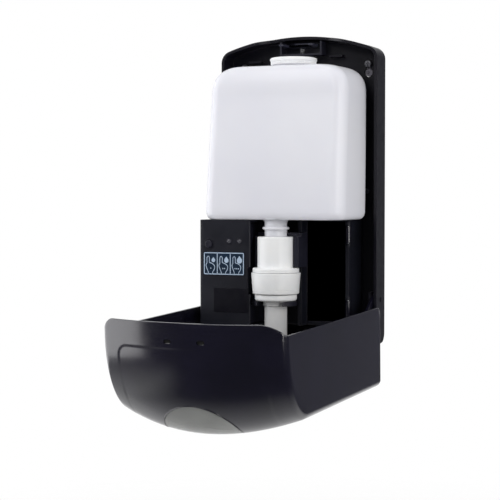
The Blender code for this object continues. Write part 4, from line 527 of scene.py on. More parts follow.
def prism(bm: Mesh, outline: Outline, axis: Axis, low: float, high: float) -> None:
    """Adds an outline pushed straight along an axis.

    Args:
        bm: The mesh it goes into.
        outline: The outline's points, in the two measures that the axis names.
        axis: The way it is pushed.
        low: Where it starts along the axis.
        high: Where it ends.
    """

    def corner(u: float, v: float, along: float) -> Vector:
        """A point of the outline at a place along the axis."""
        if axis is Axis.X:
            return at(along, u, v)
        return at(u, along, v) if axis is Axis.Y else at(u, v, along)

    face = bm.faces.new([bm.verts.new(corner(u, v, low)) for u, v in outline])
    grown = bmesh.ops.extrude_face_region(bm, geom=[face])
    moved = [item for item in grown["geom"] if isinstance(item, bmesh.types.BMVert)]
    bmesh.ops.translate(bm, verts=moved, vec=corner(0, 0, high) - corner(0, 0, low))
    whole = list(face.verts) + moved
    bmesh.ops.recalc_face_normals(bm, faces=list({f for v in whole for f in v.link_faces}))


def block(
    bm: Mesh, left: float, right: float, back: float, front: float, low: float, high: float
) -> None:
    """Adds a block between these limits."""
    middle = at((left + right) / 2, (back + front) / 2, (low + high) / 2)
    size = Vector((right - left, front - back, high - low)) * MM
    place = Matrix.Translation(middle) @ Matrix.Diagonal((*size, 1.0))
    bmesh.ops.create_cube(bm, size=1.0, matrix=place)


def turned(bm: Mesh, profile: Outline, axis: Axis, u: float, v: float, steps: int) -> None:
    """Adds a solid turned about an axis.

    Args:
        bm: The mesh it goes into.
        profile: Points of (radius, place along the axis); it is closed unless both ends lie on the axis.
        axis: The axis's way, along y or z.
        u: First of the axis's two measures.
        v: Second of the axis's two measures.
        steps: Steps of the turn.
    """
    before = set(bm.verts)
    if axis is Axis.Y:
        centre, way = at(u, 0, v), (0, 1, 0)
        points = [at(u + radius, along, v) for radius, along in profile]
    else:
        centre, way = at(u, v, 0), (0, 0, 1)
        points = [at(u + radius, v, along) for radius, along in profile]
    verts = [bm.verts.new(point) for point in points]
    pairs = list(zip(verts, verts[1:]))
    if profile[0][0] > 0 or profile[-1][0] > 0:
        pairs.append((verts[-1], verts[0]))
    geom = verts + [bm.edges.new(pair) for pair in pairs]
    bmesh.ops.spin(bm, geom=geom, cent=centre, axis=way, angle=math.tau, steps=steps, use_merge=True)
    bmesh.ops.remove_doubles(bm, verts=[v for v in bm.verts if v not in before], dist=WELD)
    faces = {f for v in bm.verts if v not in before for f in v.link_faces}
    bmesh.ops.recalc_face_normals(bm, faces=list(faces))


def loft(bm: Mesh, rings: Sequence[Sequence[Vector]], closed: bool = False) -> None:
    """Adds a solid through rings of points, with flat ends unless it comes back to its start."""
    rows = [[bm.verts.new(point) for point in ring] for ring in rings]
    spans = list(zip(rows, rows[1:])) + ([(rows[-1], rows[0])] if closed else [])
    faces = [] if closed else [bm.faces.new(rows[0]), bm.faces.new(rows[-1])]
    for a, b in spans:
        faces += [bm.faces.new((a[k - 1], a[k], b[k], b[k - 1])) for k in range(len(a))]
    bmesh.ops.recalc_face_normals(bm, faces=faces)


def ways(path: Sequence[Vector], closed: bool) -> list[Vector]:
    """The way on at each point of a path."""
    ends = [path[-1], *path, path[0]] if closed else [path[0], *path, path[-1]]
    return [(ahead - behind).normalized() for behind, ahead in zip(ends, ends[2:])]


def ribbon(
    bm: Mesh, line: Outline, width: float, back: float, front: float, closed: bool = False
) -> None:
    """Adds a flat strip that follows a line in (x, height).

    Args:
        bm: The mesh it goes into.
        line: The line's points.
        width: The strip's width.
        back: How far forward its back lies.
        front: How far forward its face lies.
        closed: Whether it comes back to its start.
    """
    path = [Vector(point) for point in line]
    rings = []
    for here, way in zip(path, ways(path, closed)):
        side = Vector((-way.y, way.x)) * width / 2
        one, other = here + side, here - side
        corners = ((one, back), (other, back), (other, front), (one, front))
        rings.append([at(point.x, depth, point.y) for point, depth in corners])
    loft(bm, rings, closed)


def wire(bm: Mesh, path: Sequence[Vector], radius: float, sides: int = 8, closed: bool = False) -> None:
    """Adds a round wire along a path.

    Args:
        bm: The mesh it goes into.
        path: Points of the path in metres.
        radius: The wire's radius in millimetres.
        sides: Points round the wire.
        closed: Whether it comes back to its start.
    """
    turns = [math.tau * s / sides for s in range(sides)]
    across = None
    rings = []
    for here, way in zip(path, ways(path, closed)):
        across = way.orthogonal() if across is None else across - way * across.dot(way)
        across = across.normalized()
        other = way.cross(across)
        rings.append([here + (across * math.cos(a) + other * math.sin(a)) * radius * MM for a in turns])
    loft(bm, rings, closed)


def coil(
    x: float, forward: float, low: float, high: float, radius: float, thickness: float, turns: int
) -> Mesh:
    """A spring wound upright whose end turns lie flat.

    Args:
        x: The axis's place.
        forward: The axis's place.
        low: Lowest height of the spring.
        high: Highest height of the spring.
        radius: Radius of the turns, to the wire's middle.
        thickness: Radius of the wire.
        turns: How many turns it has.

    Returns:
        Its mesh.
    """
    steps = turns * 28
    path = []
    for k in range(steps + 1):
        share = k / steps
        angle = math.tau * turns * share
        rise = share + math.sin(math.tau * share) * 0.25 / math.tau
        height = low + thickness + (high - low - 2 * thickness) * rise
        path.append(at(x + radius * math.cos(angle), forward + radius * math.sin(angle), height))
    return solo(wire, path, thickness)


def pan_screw(
    x: float, height: float, seat: float, head: float, tall: float, shank: float, back: float
) -> Mesh:
    """A pan-head screw out of the wall, with a cross recess.

    Args:
        x: Its axis.
        height: Its axis.
        seat: How far forward the underside of the head lies.
        head: Radius of the head.
        tall: Height of the head.
        shank: Radius of the shank.
        back: How far forward the shank's end lies.

    Returns:
        Its mesh.
    """
    profile = [(0, back), (shank * 0.7, back), (shank, back + shank * 0.4), (shank, seat)]
    profile += [(head * 0.94, seat), (head, seat + tall * 0.08)]
    for a in quarter(9)[:-1]:
        profile.append((head * math.cos(a) ** 0.7, seat + tall * (0.30 + 0.70 * math.sin(a))))
    body = solo(turned, profile + [(0, seat + tall)], Axis.Y, x, height, 48)
    recess = []
    long, short = head * 0.58, head * 0.15
    for half, rise in ((long, short), (short, long)):
        ends = (seat + tall * 0.45, seat + tall * 2)
        recess.append(Cut.AWAY.by(block, x - half, x + half, *ends, height - rise, height + rise))
    return carved(body, recess)


def as_object(bm: Mesh, name: str) -> bpy.types.Object:
    """An object with this mesh."""
    mesh = bpy.data.meshes.new(name)
    bm.to_mesh(mesh)
    bm.free()
    made = bpy.data.objects.new(name, mesh)
    bpy.context.scene.collection.objects.link(made)
    return made


def solo(maker: Callable[..., None], *args: object) -> Mesh:
    """A new mesh with just what a maker adds to it."""
    bm = bmesh.new()
    maker(bm, *args)
    return bm


def carved(bm: Mesh, steps: Iterable[tuple[Cut, Mesh]]) -> Mesh:
    """Works other meshes into or out of a mesh.

    Args:
        bm: The mesh that is worked on.
        steps: What is done with each further mesh, in order.

    Returns:
        The finished mesh.
    """
    body = as_object(bm, "carved")
    tools = []
    for how, mesh in steps:
        tool = as_object(mesh, "tool")
        step = body.modifiers.new("step", "BOOLEAN")
        step.operation = how.value
        step.solver = "EXACT"
        step.object = tool
        tools.append(tool)
    bpy.context.view_layer.update()
    evaluated = body.evaluated_get(bpy.context.evaluated_depsgraph_get())
    mesh = bpy.data.meshes.new_from_object(evaluated)
    result = bmesh.new()
    result.from_mesh(mesh)
    for used in [body, *tools]:
        data = used.data
        bpy.data.objects.remove(used)
        bpy.data.meshes.remove(data)
    bpy.data.meshes.remove(mesh)
    return result


def softened(made: bpy.types.Object, width: float) -> None:
    """Rounds a piece's sharper edges over a width in millimetres."""
    bevel = made.modifiers.new("round_edges", "BEVEL")
    bevel.width = width * MM
    bevel.segments = 2
    bevel.limit_method = "ANGLE"
    bevel.angle_limit = math.radians(35)
    bevel.use_clamp_overlap = False
    bevel.harden_normals = True


def dress(finish: Finish, *nodes: str) -> None:
    """Gives CAD nodes that are kept as they are their finish."""
    for node in nodes:
        kept = frame["nodes"][node]
        kept.data.materials.clear()
        kept.data.materials.append(finish.material())


# Sub-assemblies


@dataclass
class Assembly:
    """A sub-assembly whose pieces ride on CAD bodies."""

    pieces: list[bpy.types.Object] = field(default_factory=list, init=False)

    def add(
        self, bm: Mesh, name: str, finish: Finish, body: str, stands_for: Sequence[str] = (),
        edge: float = 0.0, smooth: float = 32.0, slot: str = "",
    ) -> bpy.types.Object:
        """Makes a piece of a mesh.

        Args:
            bm: The mesh.
            name: The piece's name.
            finish: Its finish.
            body: The CAD body it rides on.
            stands_for: CAD nodes it replaces.
            edge: Width of its rounded edges in millimetres.
            smooth: Faces that meet at less than this many degrees are shaded smooth.
            slot: The record's material slot; not used.

        Returns:
            The piece.
        """
        made = as_object(bm, name)
        made.data.shade_smooth()
        made.data.set_sharp_from_angle(angle=math.radians(smooth))
        made.data.materials.append(finish.material())
        if edge > 0:
            softened(made, edge)
        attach(made, body)
        if stands_for:
            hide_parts(*stands_for)
        self.pieces.append(made)
        return made

    def refined(self, node: str, name: str, finish: Finish, edge: float, slot: str) -> None:
        """Makes a piece of a CAD node's own shape, with rounded edges.

        Args:
            node: The CAD node.
            name: The piece's name.
            finish: Its finish.
            edge: Width of its rounded edges in millimetres.
            slot: The record's material slot; passed on to add, which does not use it.
        """
        bm = bmesh.new()
        bm.from_mesh(frame["nodes"][node].data)
        bmesh.ops.remove_doubles(bm, verts=bm.verts, dist=WELD / 10)
        bmesh.ops.dissolve_limit(bm, angle_limit=math.radians(0.6), verts=bm.verts, edges=bm.edges)
        self.add(bm, name, finish, frame["nodes"][node]["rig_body"], [node], edge, slot=slot)

    def build(self) -> None:
        """Makes every piece."""

    def report(self) -> None:
        """Logs each piece."""
        for made in self.pieces:
            LOG.info("%s: %s, %d faces", type(self).__name__, made.name, len(made.data.polygons))


@dataclass
class BackPlate(Assembly):
    """Tray that hangs on the wall, its screws and the cover's hinge pins."""

    half: float = PLATE_HALF
    height: float = 251.6
    depth: float = 20.6
    wall: float = 2.5
    arch: float = PLATE_ARCH
    corner: float = 10.0
    foot: float = 2.0
    heel: float = 9.0
    setback: float = 8.0
    notch: float = 22.5
    ease: float = 18.0
    over: float = 2.0
    keyhole: tuple[float, float] = (55.4, 221.1)
    keyhole_radius: float = 3.45
    keyhole_top: float = 230.2
    neck_half: float = 2.1
    screw: tuple[float, float] = (54.5, 124.5)
    screw_bore: float = 1.5
    head_seat: float = 2.8
    screw_rise: float = 7.0
    plug_half: float = 1.8
    plug_tall: float = 5.0
    shelves: Sequence[tuple[float, float]] = ((-43.7, 232.5), (28.7, 235.0))
    shelf_half: float = 5.85
    shelf_front: float = 8.5
    shelf_rise: float = 0.9
    lug: tuple[float, float] = (60.5, 63.5)
    lug_reach: float = 6.0
    pin_bores: Sequence[tuple[float, float]] = ((-71.0, -60.0), (60.0, 71.0))

    def outline(self, half: float, low: float, top: float, corner: float, foot: float) -> Points:
        """Front outline with an arched top.

        Args:
            half: Half of its width.
            low: Its lower edge.
            top: Height of the arch's middle.
            corner: Radius of the upper corners.
            foot: Radius of the lower corners.

        Returns:
            The outline in (x, height).
        """
        share = self.arch / self.half**2
        flat = half - corner
        steps = 48
        xs = [flat * (1 - 2 * k / steps) for k in range(steps + 1)]
        arched = [(x, top - share * x**2) for x in (half, *xs, -half)]
        radii = [foot, foot, corner] + [0.0] * len(xs) + [corner]
        return rounded([(-half, low), (half, low)] + arched, radii, 8)

    def notched(self) -> Points:
        """Outline in (x, forward) of what is cut from the top flange over the latch, with easy ends."""
        steps = 12
        points = [(-self.notch - self.ease, self.depth + self.over)]
        for k in range(steps + 1):
            share = k / steps
            points.append((-self.notch - self.ease * (1 - share), self.depth - self.setback * eased(share)))
        return points + [(-x, forward) for x, forward in reversed(points)]

    def tray(self) -> Mesh:
        """The tray with its keyholes, shelves, hinge lug and bores."""
        depth, height, wall, over = self.depth, self.height, self.wall, self.over
        inner, soft = self.half - wall, self.corner - wall
        front = depth + over
        side_top = height - self.arch * (inner / self.half) ** 2 - self.corner - wall
        side = [(front, 0), (front, height + over), (0, height + over), (0, 0)]
        floor = [(front, wall), (front, side_top), (wall, side_top), (wall, wall)]
        hollow = self.outline(inner, wall, height - wall, soft, 0)
        upper = self.outline(inner, side_top - self.corner, height - wall, soft, 0)
        side = rounded(side, [0, 0, 0, self.heel], 14)
        floor = rounded(floor, [0, 0, 0, self.heel - wall], 12)
        steps = [
            Cut.KEEP.by(prism, side, Axis.X, -self.half - over, self.half + over),
            Cut.AWAY.by(prism, hollow, Axis.Y, self.heel, front),
            Cut.AWAY.by(prism, floor, Axis.X, -inner, inner),
            Cut.AWAY.by(prism, upper, Axis.Y, wall, depth),
            Cut.AWAY.by(prism, self.notched(), Axis.Z, side_top, height + over),
        ]
        through = (Axis.Y, -over, wall + over)
        key_x, key_low = self.keyhole
        for x in (-key_x, key_x):
            ends = (x - self.neck_half, x + self.neck_half)
            neck = panel(*ends, key_low, self.keyhole_top, self.neck_half - 0.01, 8)
            steps.append(Cut.AWAY.by(prism, arc(x, key_low, self.keyhole_radius, 40), *through))
            steps.append(Cut.AWAY.by(prism, neck, *through))
        screw_x, screw_height = self.screw
        for x in (-screw_x, screw_x):
            steps.append(Cut.AWAY.by(prism, arc(x, screw_height, self.screw_bore, 24), *through))
        half, rise = self.shelf_half, self.shelf_rise
        for x, shelf in self.shelves:
            ends = (wall / 2, self.shelf_front, shelf - rise, shelf + rise)
            steps.append(Cut.JOIN.by(block, x - half, x + half, *ends))
        reach = self.lug_reach
        ends = (wall / 2, HINGE_FORWARD + reach, HINGE_HEIGHT - reach, HINGE_HEIGHT + reach)
        steps.append(Cut.JOIN.by(block, *self.lug, *ends))
        for low, high in self.pin_bores:
            bore = arc(HINGE_FORWARD, HINGE_HEIGHT, HINGE_BORE, 32)
            steps.append(Cut.AWAY.by(prism, bore, Axis.X, low, high))
        body = self.outline(self.half, 0, height, self.corner, self.foot)
        return carved(solo(prism, body, Axis.Y, 0, depth), steps)

    def build(self) -> None:
        """Makes the tray, its screws and plugs, and dresses the pins."""
        self.add(self.tray(), "wall_tray", SATIN_ABS, "frame", ["back_plate"], edge=0.4, slot="plate")
        key_x, key_low = self.keyhole
        screw_x, screw_height = self.screw
        collar = [(0, 0.3), (3.2, 0.3), (3.2, 1.5), (2.9, 1.8), (1.1, 1.8), (0.9, 0.9), (0, 0.9)]
        for side, name in SIDES:
            x = key_x * side
            screw = pan_screw(x, key_low + self.screw_rise, self.head_seat, 3.3, 1.8, 1.8, 0.0)
            nodes = [f"wall_screw_{name}"]
            self.add(screw, f"keyhole_screw_{name}", PHOSPHATED_STEEL, "frame", nodes, slot="steel")
            plug = solo(turned, collar, Axis.Y, x, key_low, 32)
            sleeve = panel(x - self.plug_half, x + self.plug_half, key_low, key_low + self.plug_tall, 1.0)
            prism(plug, sleeve, Axis.Y, 0.3, 1.6)
            self.add(plug, f"wall_plug_{name}", PLUG_NYLON, "frame", slot="dark_grey")
            x = screw_x * side
            screw = pan_screw(x, screw_height, self.head_seat, head=2.2, tall=1.5, shank=1.2, back=0.0)
            nodes = [f"lower_screw_{name}"]
            self.add(screw, f"tray_screw_{name}", PHOSPHATED_STEEL, "frame", nodes, slot="steel")
            dress(BLACKENED_STEEL, f"hinge_pin_{name}")


@dataclass
class FrontCover(Assembly):
    """Crowned cover that swings down on its ears, with its level window and catch."""

    half: float = 72.5
    top: float = 255.0
    low: float = 47.2
    rim: float = 15.6
    lip: float = 7.6
    lip_half: tuple[float, float] = (63.5, 52.0)
    lip_blend: tuple[float, float] = (9.0, 20.5)
    lip_power: float = 1.9
    wall: float = 2.5
    edge: float = 4.0
    crown: float = 76.4
    crown_drop: float = 13.4
    fall: float = 38.0
    fall_start: float = 2.0
    fine_end: float = 36.1
    low_corner: float = 6.0
    arch_share: float = PLATE_ARCH / PLATE_HALF**2
    round: float = 0.6
    opening: float = math.radians(91.8)
    field_half: float = 57.5
    field_back: float = 26.0
    field_corner: float = 8.0
    field_depth: float = 0.3
    field_blend: float = 3.0
    field_fade: tuple[float, float] = (36.0, 20.0)
    window_half: float = 29.5
    window_low: float = 150.0
    window_spring: float = 222.5
    window_rise: float = 22.0
    window_corner: float = 6.0
    slot_x: float = 13.0
    slot_half: float = 3.0
    slot_depth: tuple[float, float] = (19.5, 22.5)
    slot_cut: tuple[float, float] = (236.0, 258.0)
    flap: tuple[float, float] = (252.3, 252.9)
    window_cut: tuple[float, float] = (53.6, 94.0)
    ear_radius: float = 6.0
    ear_sides: tuple[float, float] = (66.1, 63.9)
    ear_bore: tuple[float, float] = (66.2, 61.0)
    link_sides: tuple[float, float] = (71.25, 65.0)
    link_limits: tuple[float, float, float, float] = (22.7, 30.1, 52.3, 67.7)

    def opened(self, bm: Mesh) -> Mesh:
        """Turns a mesh drawn shut to where the cover hangs open."""
        pivot = at(0, HINGE_FORWARD, HINGE_HEIGHT)
        bmesh.ops.rotate(bm, verts=bm.verts, cent=pivot, matrix=Matrix.Rotation(self.opening, 3, "X"))
        return bm

    def top_at(self, x: float) -> float:
        """Height of the arched top edge."""
        return self.top - self.arch_share * x**2

    def depth_at(self, x: float) -> float:
        """Depth of the crown in front of the rim."""
        return self.crown - self.crown_drop * (x / self.half) ** 2

    def field_at(self, x: float, forward: float, height: float) -> float:
        """How deep the sunk field of the front is here."""
        over_x = abs(x) - (self.field_half - self.field_corner)
        over_f = self.field_back + self.field_corner - forward
        outside = math.hypot(max(over_x, 0), max(over_f, 0)) + min(max(over_x, over_f), 0) - self.field_corner
        inside = limited(0.5 - outside / self.field_blend)
        below, reach = self.field_fade
        fade = limited((height - self.top_at(x) + below) / reach)
        return self.field_depth * eased(inside) * eased(fade)

    def columns(self) -> list[tuple[float, float, float]]:
        """Places across the cover, from the left rim to the right one.

        Returns:
            For each: share of the way back down the side, angle round the edge, and x on the flat. They
            lie closest over the sunk field's wall.
        """
        side = [(1 - k / 7, 0.0, 0.0) for k in range(7)] + [(0.0, angle, 0.0) for angle in quarter(8)[:-1]]
        flat, steps = self.half - self.edge, 22
        xs = [flat - 2.2 * k for k in range(4)] + [59.6, 58.9, 58.4, 58.0, 57.7, 57.3, 57.0, 56.6, 56.1, 55.4]
        xs += [54.6 - 0.9 * k for k in range(7)] + [48.0 * (1 - k / steps) for k in range(steps)] + [0.0]
        half = side + [(0.0, math.pi / 2, -x) for x in xs]
        return half + [(share, -angle, -x) for share, angle, x in reversed(half[:-1])]

    def rows(self) -> list[tuple[str, float]]:
        """Places down the cover, from its back lip over the fall to its lower edge."""
        fine = [17.6, 18.6, 19.8, 21.0, 22.2, 23.4, 24.3, 24.9, 25.3, 25.6, 25.9, 26.2, 26.5, 26.9, 27.4]
        fine += [28.1 + 0.8 * k for k in range(11)]
        places = {
            "lip": (0.0, 0.35, 0.7),
            "forward": fine,
            "angle": [k / 26 for k in range(1, 27)],
            "height": [k / 14 for k in range(1, 14)],
            "corner": quarter(8),
        }
        return [(kind, value) for kind, values in places.items() for value in values]

    def point(
        self, column: tuple[float, float, float], row: tuple[str, float], inset: float
    ) -> tuple[Vector, Vector]:
        """A point of the shell.

        Args:
            column: Place across it.
            row: Place down it.
            inset: How far in from the outer face.

        Returns:
            The point, and the way out over the shell's edge there.
        """
        share, angle, flat = column
        kind, value = row
        turn = abs(angle)
        side = -math.copysign(1.0, angle)
        on_flat = turn >= math.pi / 2 - 1e-9
        x_out = x_in = flat
        drop_out = drop = 0.0
        if not on_flat:
            edge = max(self.edge - inset, 0.3)
            x_out = side * (self.half - self.edge * (1 - math.cos(turn)))
            x_in = side * (self.half - inset - edge * (1 - math.cos(turn)))
            drop_out = self.edge * (1 - math.sin(turn))
            drop = edge * (1 - math.sin(turn))
        top, depth = self.top_at(x_in), self.depth_at(x_in)
        start = self.rim + self.fall_start
        straight_low = self.low + self.low_corner
        if kind == "lip":
            end = 0 if x_out < 0 else 1
            over = limited((abs(x_out) - self.lip_half[end]) / self.lip_blend[end])
            lip = self.lip + (self.rim - self.lip) * over**self.lip_power + self.round
            forward, height = lip + (start - lip) * value, top - inset - drop
        elif kind in ("forward", "angle"):
            reach = self.depth_at(x_out) - self.fall_start - drop_out
            if kind == "forward":
                fall_angle = math.acos(min((value - start) / reach, 1.0))
            else:
                fall_angle = math.acos((self.fine_end - start) / reach) * (1 - value)
            sunk = 0.0
            if inset == 0:
                seen = start + reach * math.cos(fall_angle)
                rise = self.top_at(x_out) - self.fall + (self.fall - drop_out) * math.sin(fall_angle)
                sunk = self.field_at(x_out, seen, rise)
            forward = start + (depth - self.fall_start - inset - sunk - drop) * math.cos(fall_angle)
            height = top - self.fall + (self.fall - inset - sunk - drop) * math.sin(fall_angle)
        else:
            forward = self.rim + depth - inset - drop
            high = top - self.fall
            height = high + (straight_low - high) * value
            if kind == "corner":
                height = straight_low - (self.low_corner - self.round) * math.sin(value)
        back = self.rim + self.round
        out = Vector((0, 1, 0)) if share > 0 or kind == "lip" else Vector((0, 0, -1))
        if kind == "corner":
            back = self.rim + self.low_corner - (self.low_corner - self.round) * math.cos(value)
            if share >= 1:
                out = Vector((0, math.cos(value), -math.sin(value)))
            elif value >= math.pi / 2 - 1e-9:
                out = Vector((0, 0, -1))
        forward += share * (back - forward)
        return at(x_in, forward, height), out

    def shell(self) -> Mesh:
        """The shell, drawn shut, with rounded rims."""
        columns, rows = self.columns(), self.rows()
        bm = bmesh.new()
        grids = [[[self.point(c, r, inset) for r in rows] for c in columns] for inset in (0.0, self.wall)]
        verts = [[[bm.verts.new(point) for point, _ in line] for line in grid] for grid in grids]
        for layer in verts:
            for a, b in zip(layer, layer[1:]):
                for k in range(len(a) - 1):
                    bm.faces.new((a[k], a[k + 1], b[k + 1], b[k]))
        last_c, last_r = len(columns) - 1, len(rows) - 1
        border = [(c, 0) for c in range(last_c)] + [(last_c, r) for r in range(last_r)]
        border += [(c, last_r) for c in range(last_c, 0, -1)] + [(0, r) for r in range(last_r, 0, -1)]
        loops = [[verts[0][c][r] for c, r in border]]
        profile = [(1 - math.cos(a), math.sin(a)) for a in quarter(4)[1:]]
        profile += [(self.wall / self.round - deep, out) for deep, out in reversed(profile)]
        for deep, out in profile:
            share, push = deep * self.round / self.wall, out * self.round * MM
            loop = []
            for c, r in border:
                outer, way = grids[0][c][r]
                loop.append(bm.verts.new(outer.lerp(grids[1][c][r][0], share) + way * push))
            loops.append(loop)
        loops.append([verts[1][c][r] for c, r in border])
        for a, b in zip(loops, loops[1:]):
            for k in range(len(border)):
                bm.faces.new((a[k - 1], a[k], b[k], b[k - 1]))
        bmesh.ops.remove_doubles(bm, verts=bm.verts, dist=WELD)
        bmesh.ops.recalc_face_normals(bm, faces=bm.faces)
        return bm

    def window(self, shrink: float) -> Points:
        """Front outline of the level window, drawn in by so much."""
        half, low, spring = self.window_half - shrink, self.window_low + shrink, self.window_spring
        soft = self.window_corner - shrink
        corners = [(-half, spring), (-half, low), (half, low), (half, spring)]
        points = rounded(corners, [0, soft, soft, 0], 10)
        steps = 44
        for k in range(1, steps):
            turn = math.pi * k / steps
            rise = (self.window_rise - shrink) * math.sin(turn) ** 0.8
            points.append((half * math.cos(turn), spring + rise))
        return points

    def face_at(self, x: float, height: float) -> Vector:
        """The point of the outer face straight in front of (x, height)."""
        reach = self.depth_at(x) - self.fall_start
        fall_angle = math.asin(limited((height - self.top_at(x) + self.fall) / self.fall))
        forward = self.rim + self.fall_start + reach * math.cos(fall_angle)
        sunk = self.field_at(x, forward, height)
        normal = Vector((math.cos(fall_angle) * self.fall, math.sin(fall_angle) * reach)).normalized()
        return at(x, forward - normal.x * sunk, height - normal.y * sunk)

    def ear(self, side: int) -> Mesh:
        """One hinge ear with the link that holds it to the cover's side."""
        outline = arc(HINGE_FORWARD, HINGE_HEIGHT, self.ear_radius, 24, math.radians(145), math.pi)
        outline += [(30.4, 52.0), (30.4, 68.0), (22.4, 68.0)]
        bore = arc(HINGE_FORWARD, HINGE_HEIGHT, HINGE_BORE, 32)
        steps = [
            Cut.JOIN.by(block, *on_side(side, self.link_sides), *self.link_limits),
            Cut.AWAY.by(prism, bore, Axis.X, *on_side(side, self.ear_bore)),
        ]
        return carved(solo(prism, outline, Axis.X, *on_side(side, self.ear_sides)), steps)

    def slot(self, x: float, gap: float, low: float, high: float) -> tuple[Outline, Axis, float, float]:
        """What a key slot at x, drawn in by a gap, is pushed from and how."""
        back, front = self.slot_depth
        half = self.slot_half - gap
        outline = panel(x - half, x + half, back + gap, front - gap, (front - back) / 2 - gap - 0.01, 8)
        return outline, Axis.Z, low, high

    def build(self) -> None:
        """Makes the shell, its ears, window, window bead, catch and slot flaps."""
        reach = (Axis.Y, *self.window_cut)
        steps = [Cut.AWAY.by(prism, self.window(0), *reach)]
        for side, _ in SIDES:
            steps.append(Cut.AWAY.by(prism, *self.slot(side * self.slot_x, 0.0, *self.slot_cut)))
        shell = self.opened(carved(self.shell(), steps))
        self.add(shell, "front_cover", POLISHED_ABS, "cover", ["cover_shell"], smooth=38, slot="cover")
        for side, name in SIDES:
            ear = self.opened(self.ear(side))
            self.add(ear, f"hinge_ear_{name}", POLISHED_ABS, "cover", edge=0.3, slot="cover")
        pane = self.opened(carved(self.shell(), [Cut.KEEP.by(prism, self.window(0.3), *reach)]))
        self.add(pane, "level_pane", SMOKED_ACRYLIC, "cover", ["level_window"], smooth=38, slot="window")
        line = [self.face_at(x, height) for x, height in self.window(-0.5)]
        bead = self.opened(solo(wire, line, 0.42, 10, True))
        self.add(bead, "window_bead", POLISHED_ABS, "cover", slot="cover")
        self.refined("cover_strike", "cover_catch", SATIN_ABS, 0.3, "dark_grey")
        for side, name in SIDES:
            flap = self.opened(solo(prism, *self.slot(side * self.slot_x, 0.1, *self.flap)))
            self.add(flap, f"key_slot_flap_{name}", NITRILE_RUBBER, "cover", slot="rubber")


@dataclass
class Latch(Assembly):
    """Sprung slide in its bracket at the tray's top."""

    forward: float = 9.0
    spring_low: float = 237.9
    spring_high: float = 242.6

    def build(self) -> None:
        """Makes the bracket, slide and spring."""
        self.refined("latch_bracket", "latch_housing", LATCH_ACETAL, 0.3, "dark_grey")
        self.refined("latch_slide", "latch_key_slide", SLIDE_ACETAL, 0.25, "dark_grey")
        spring = coil(
            0, self.forward, self.spring_low, self.spring_high, radius=2.0, thickness=0.25, turns=4
        )
        made = self.add(spring, "latch_return_spring", ZINC_STEEL, "latch", ["latch_spring"], slot="steel")
        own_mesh(made)


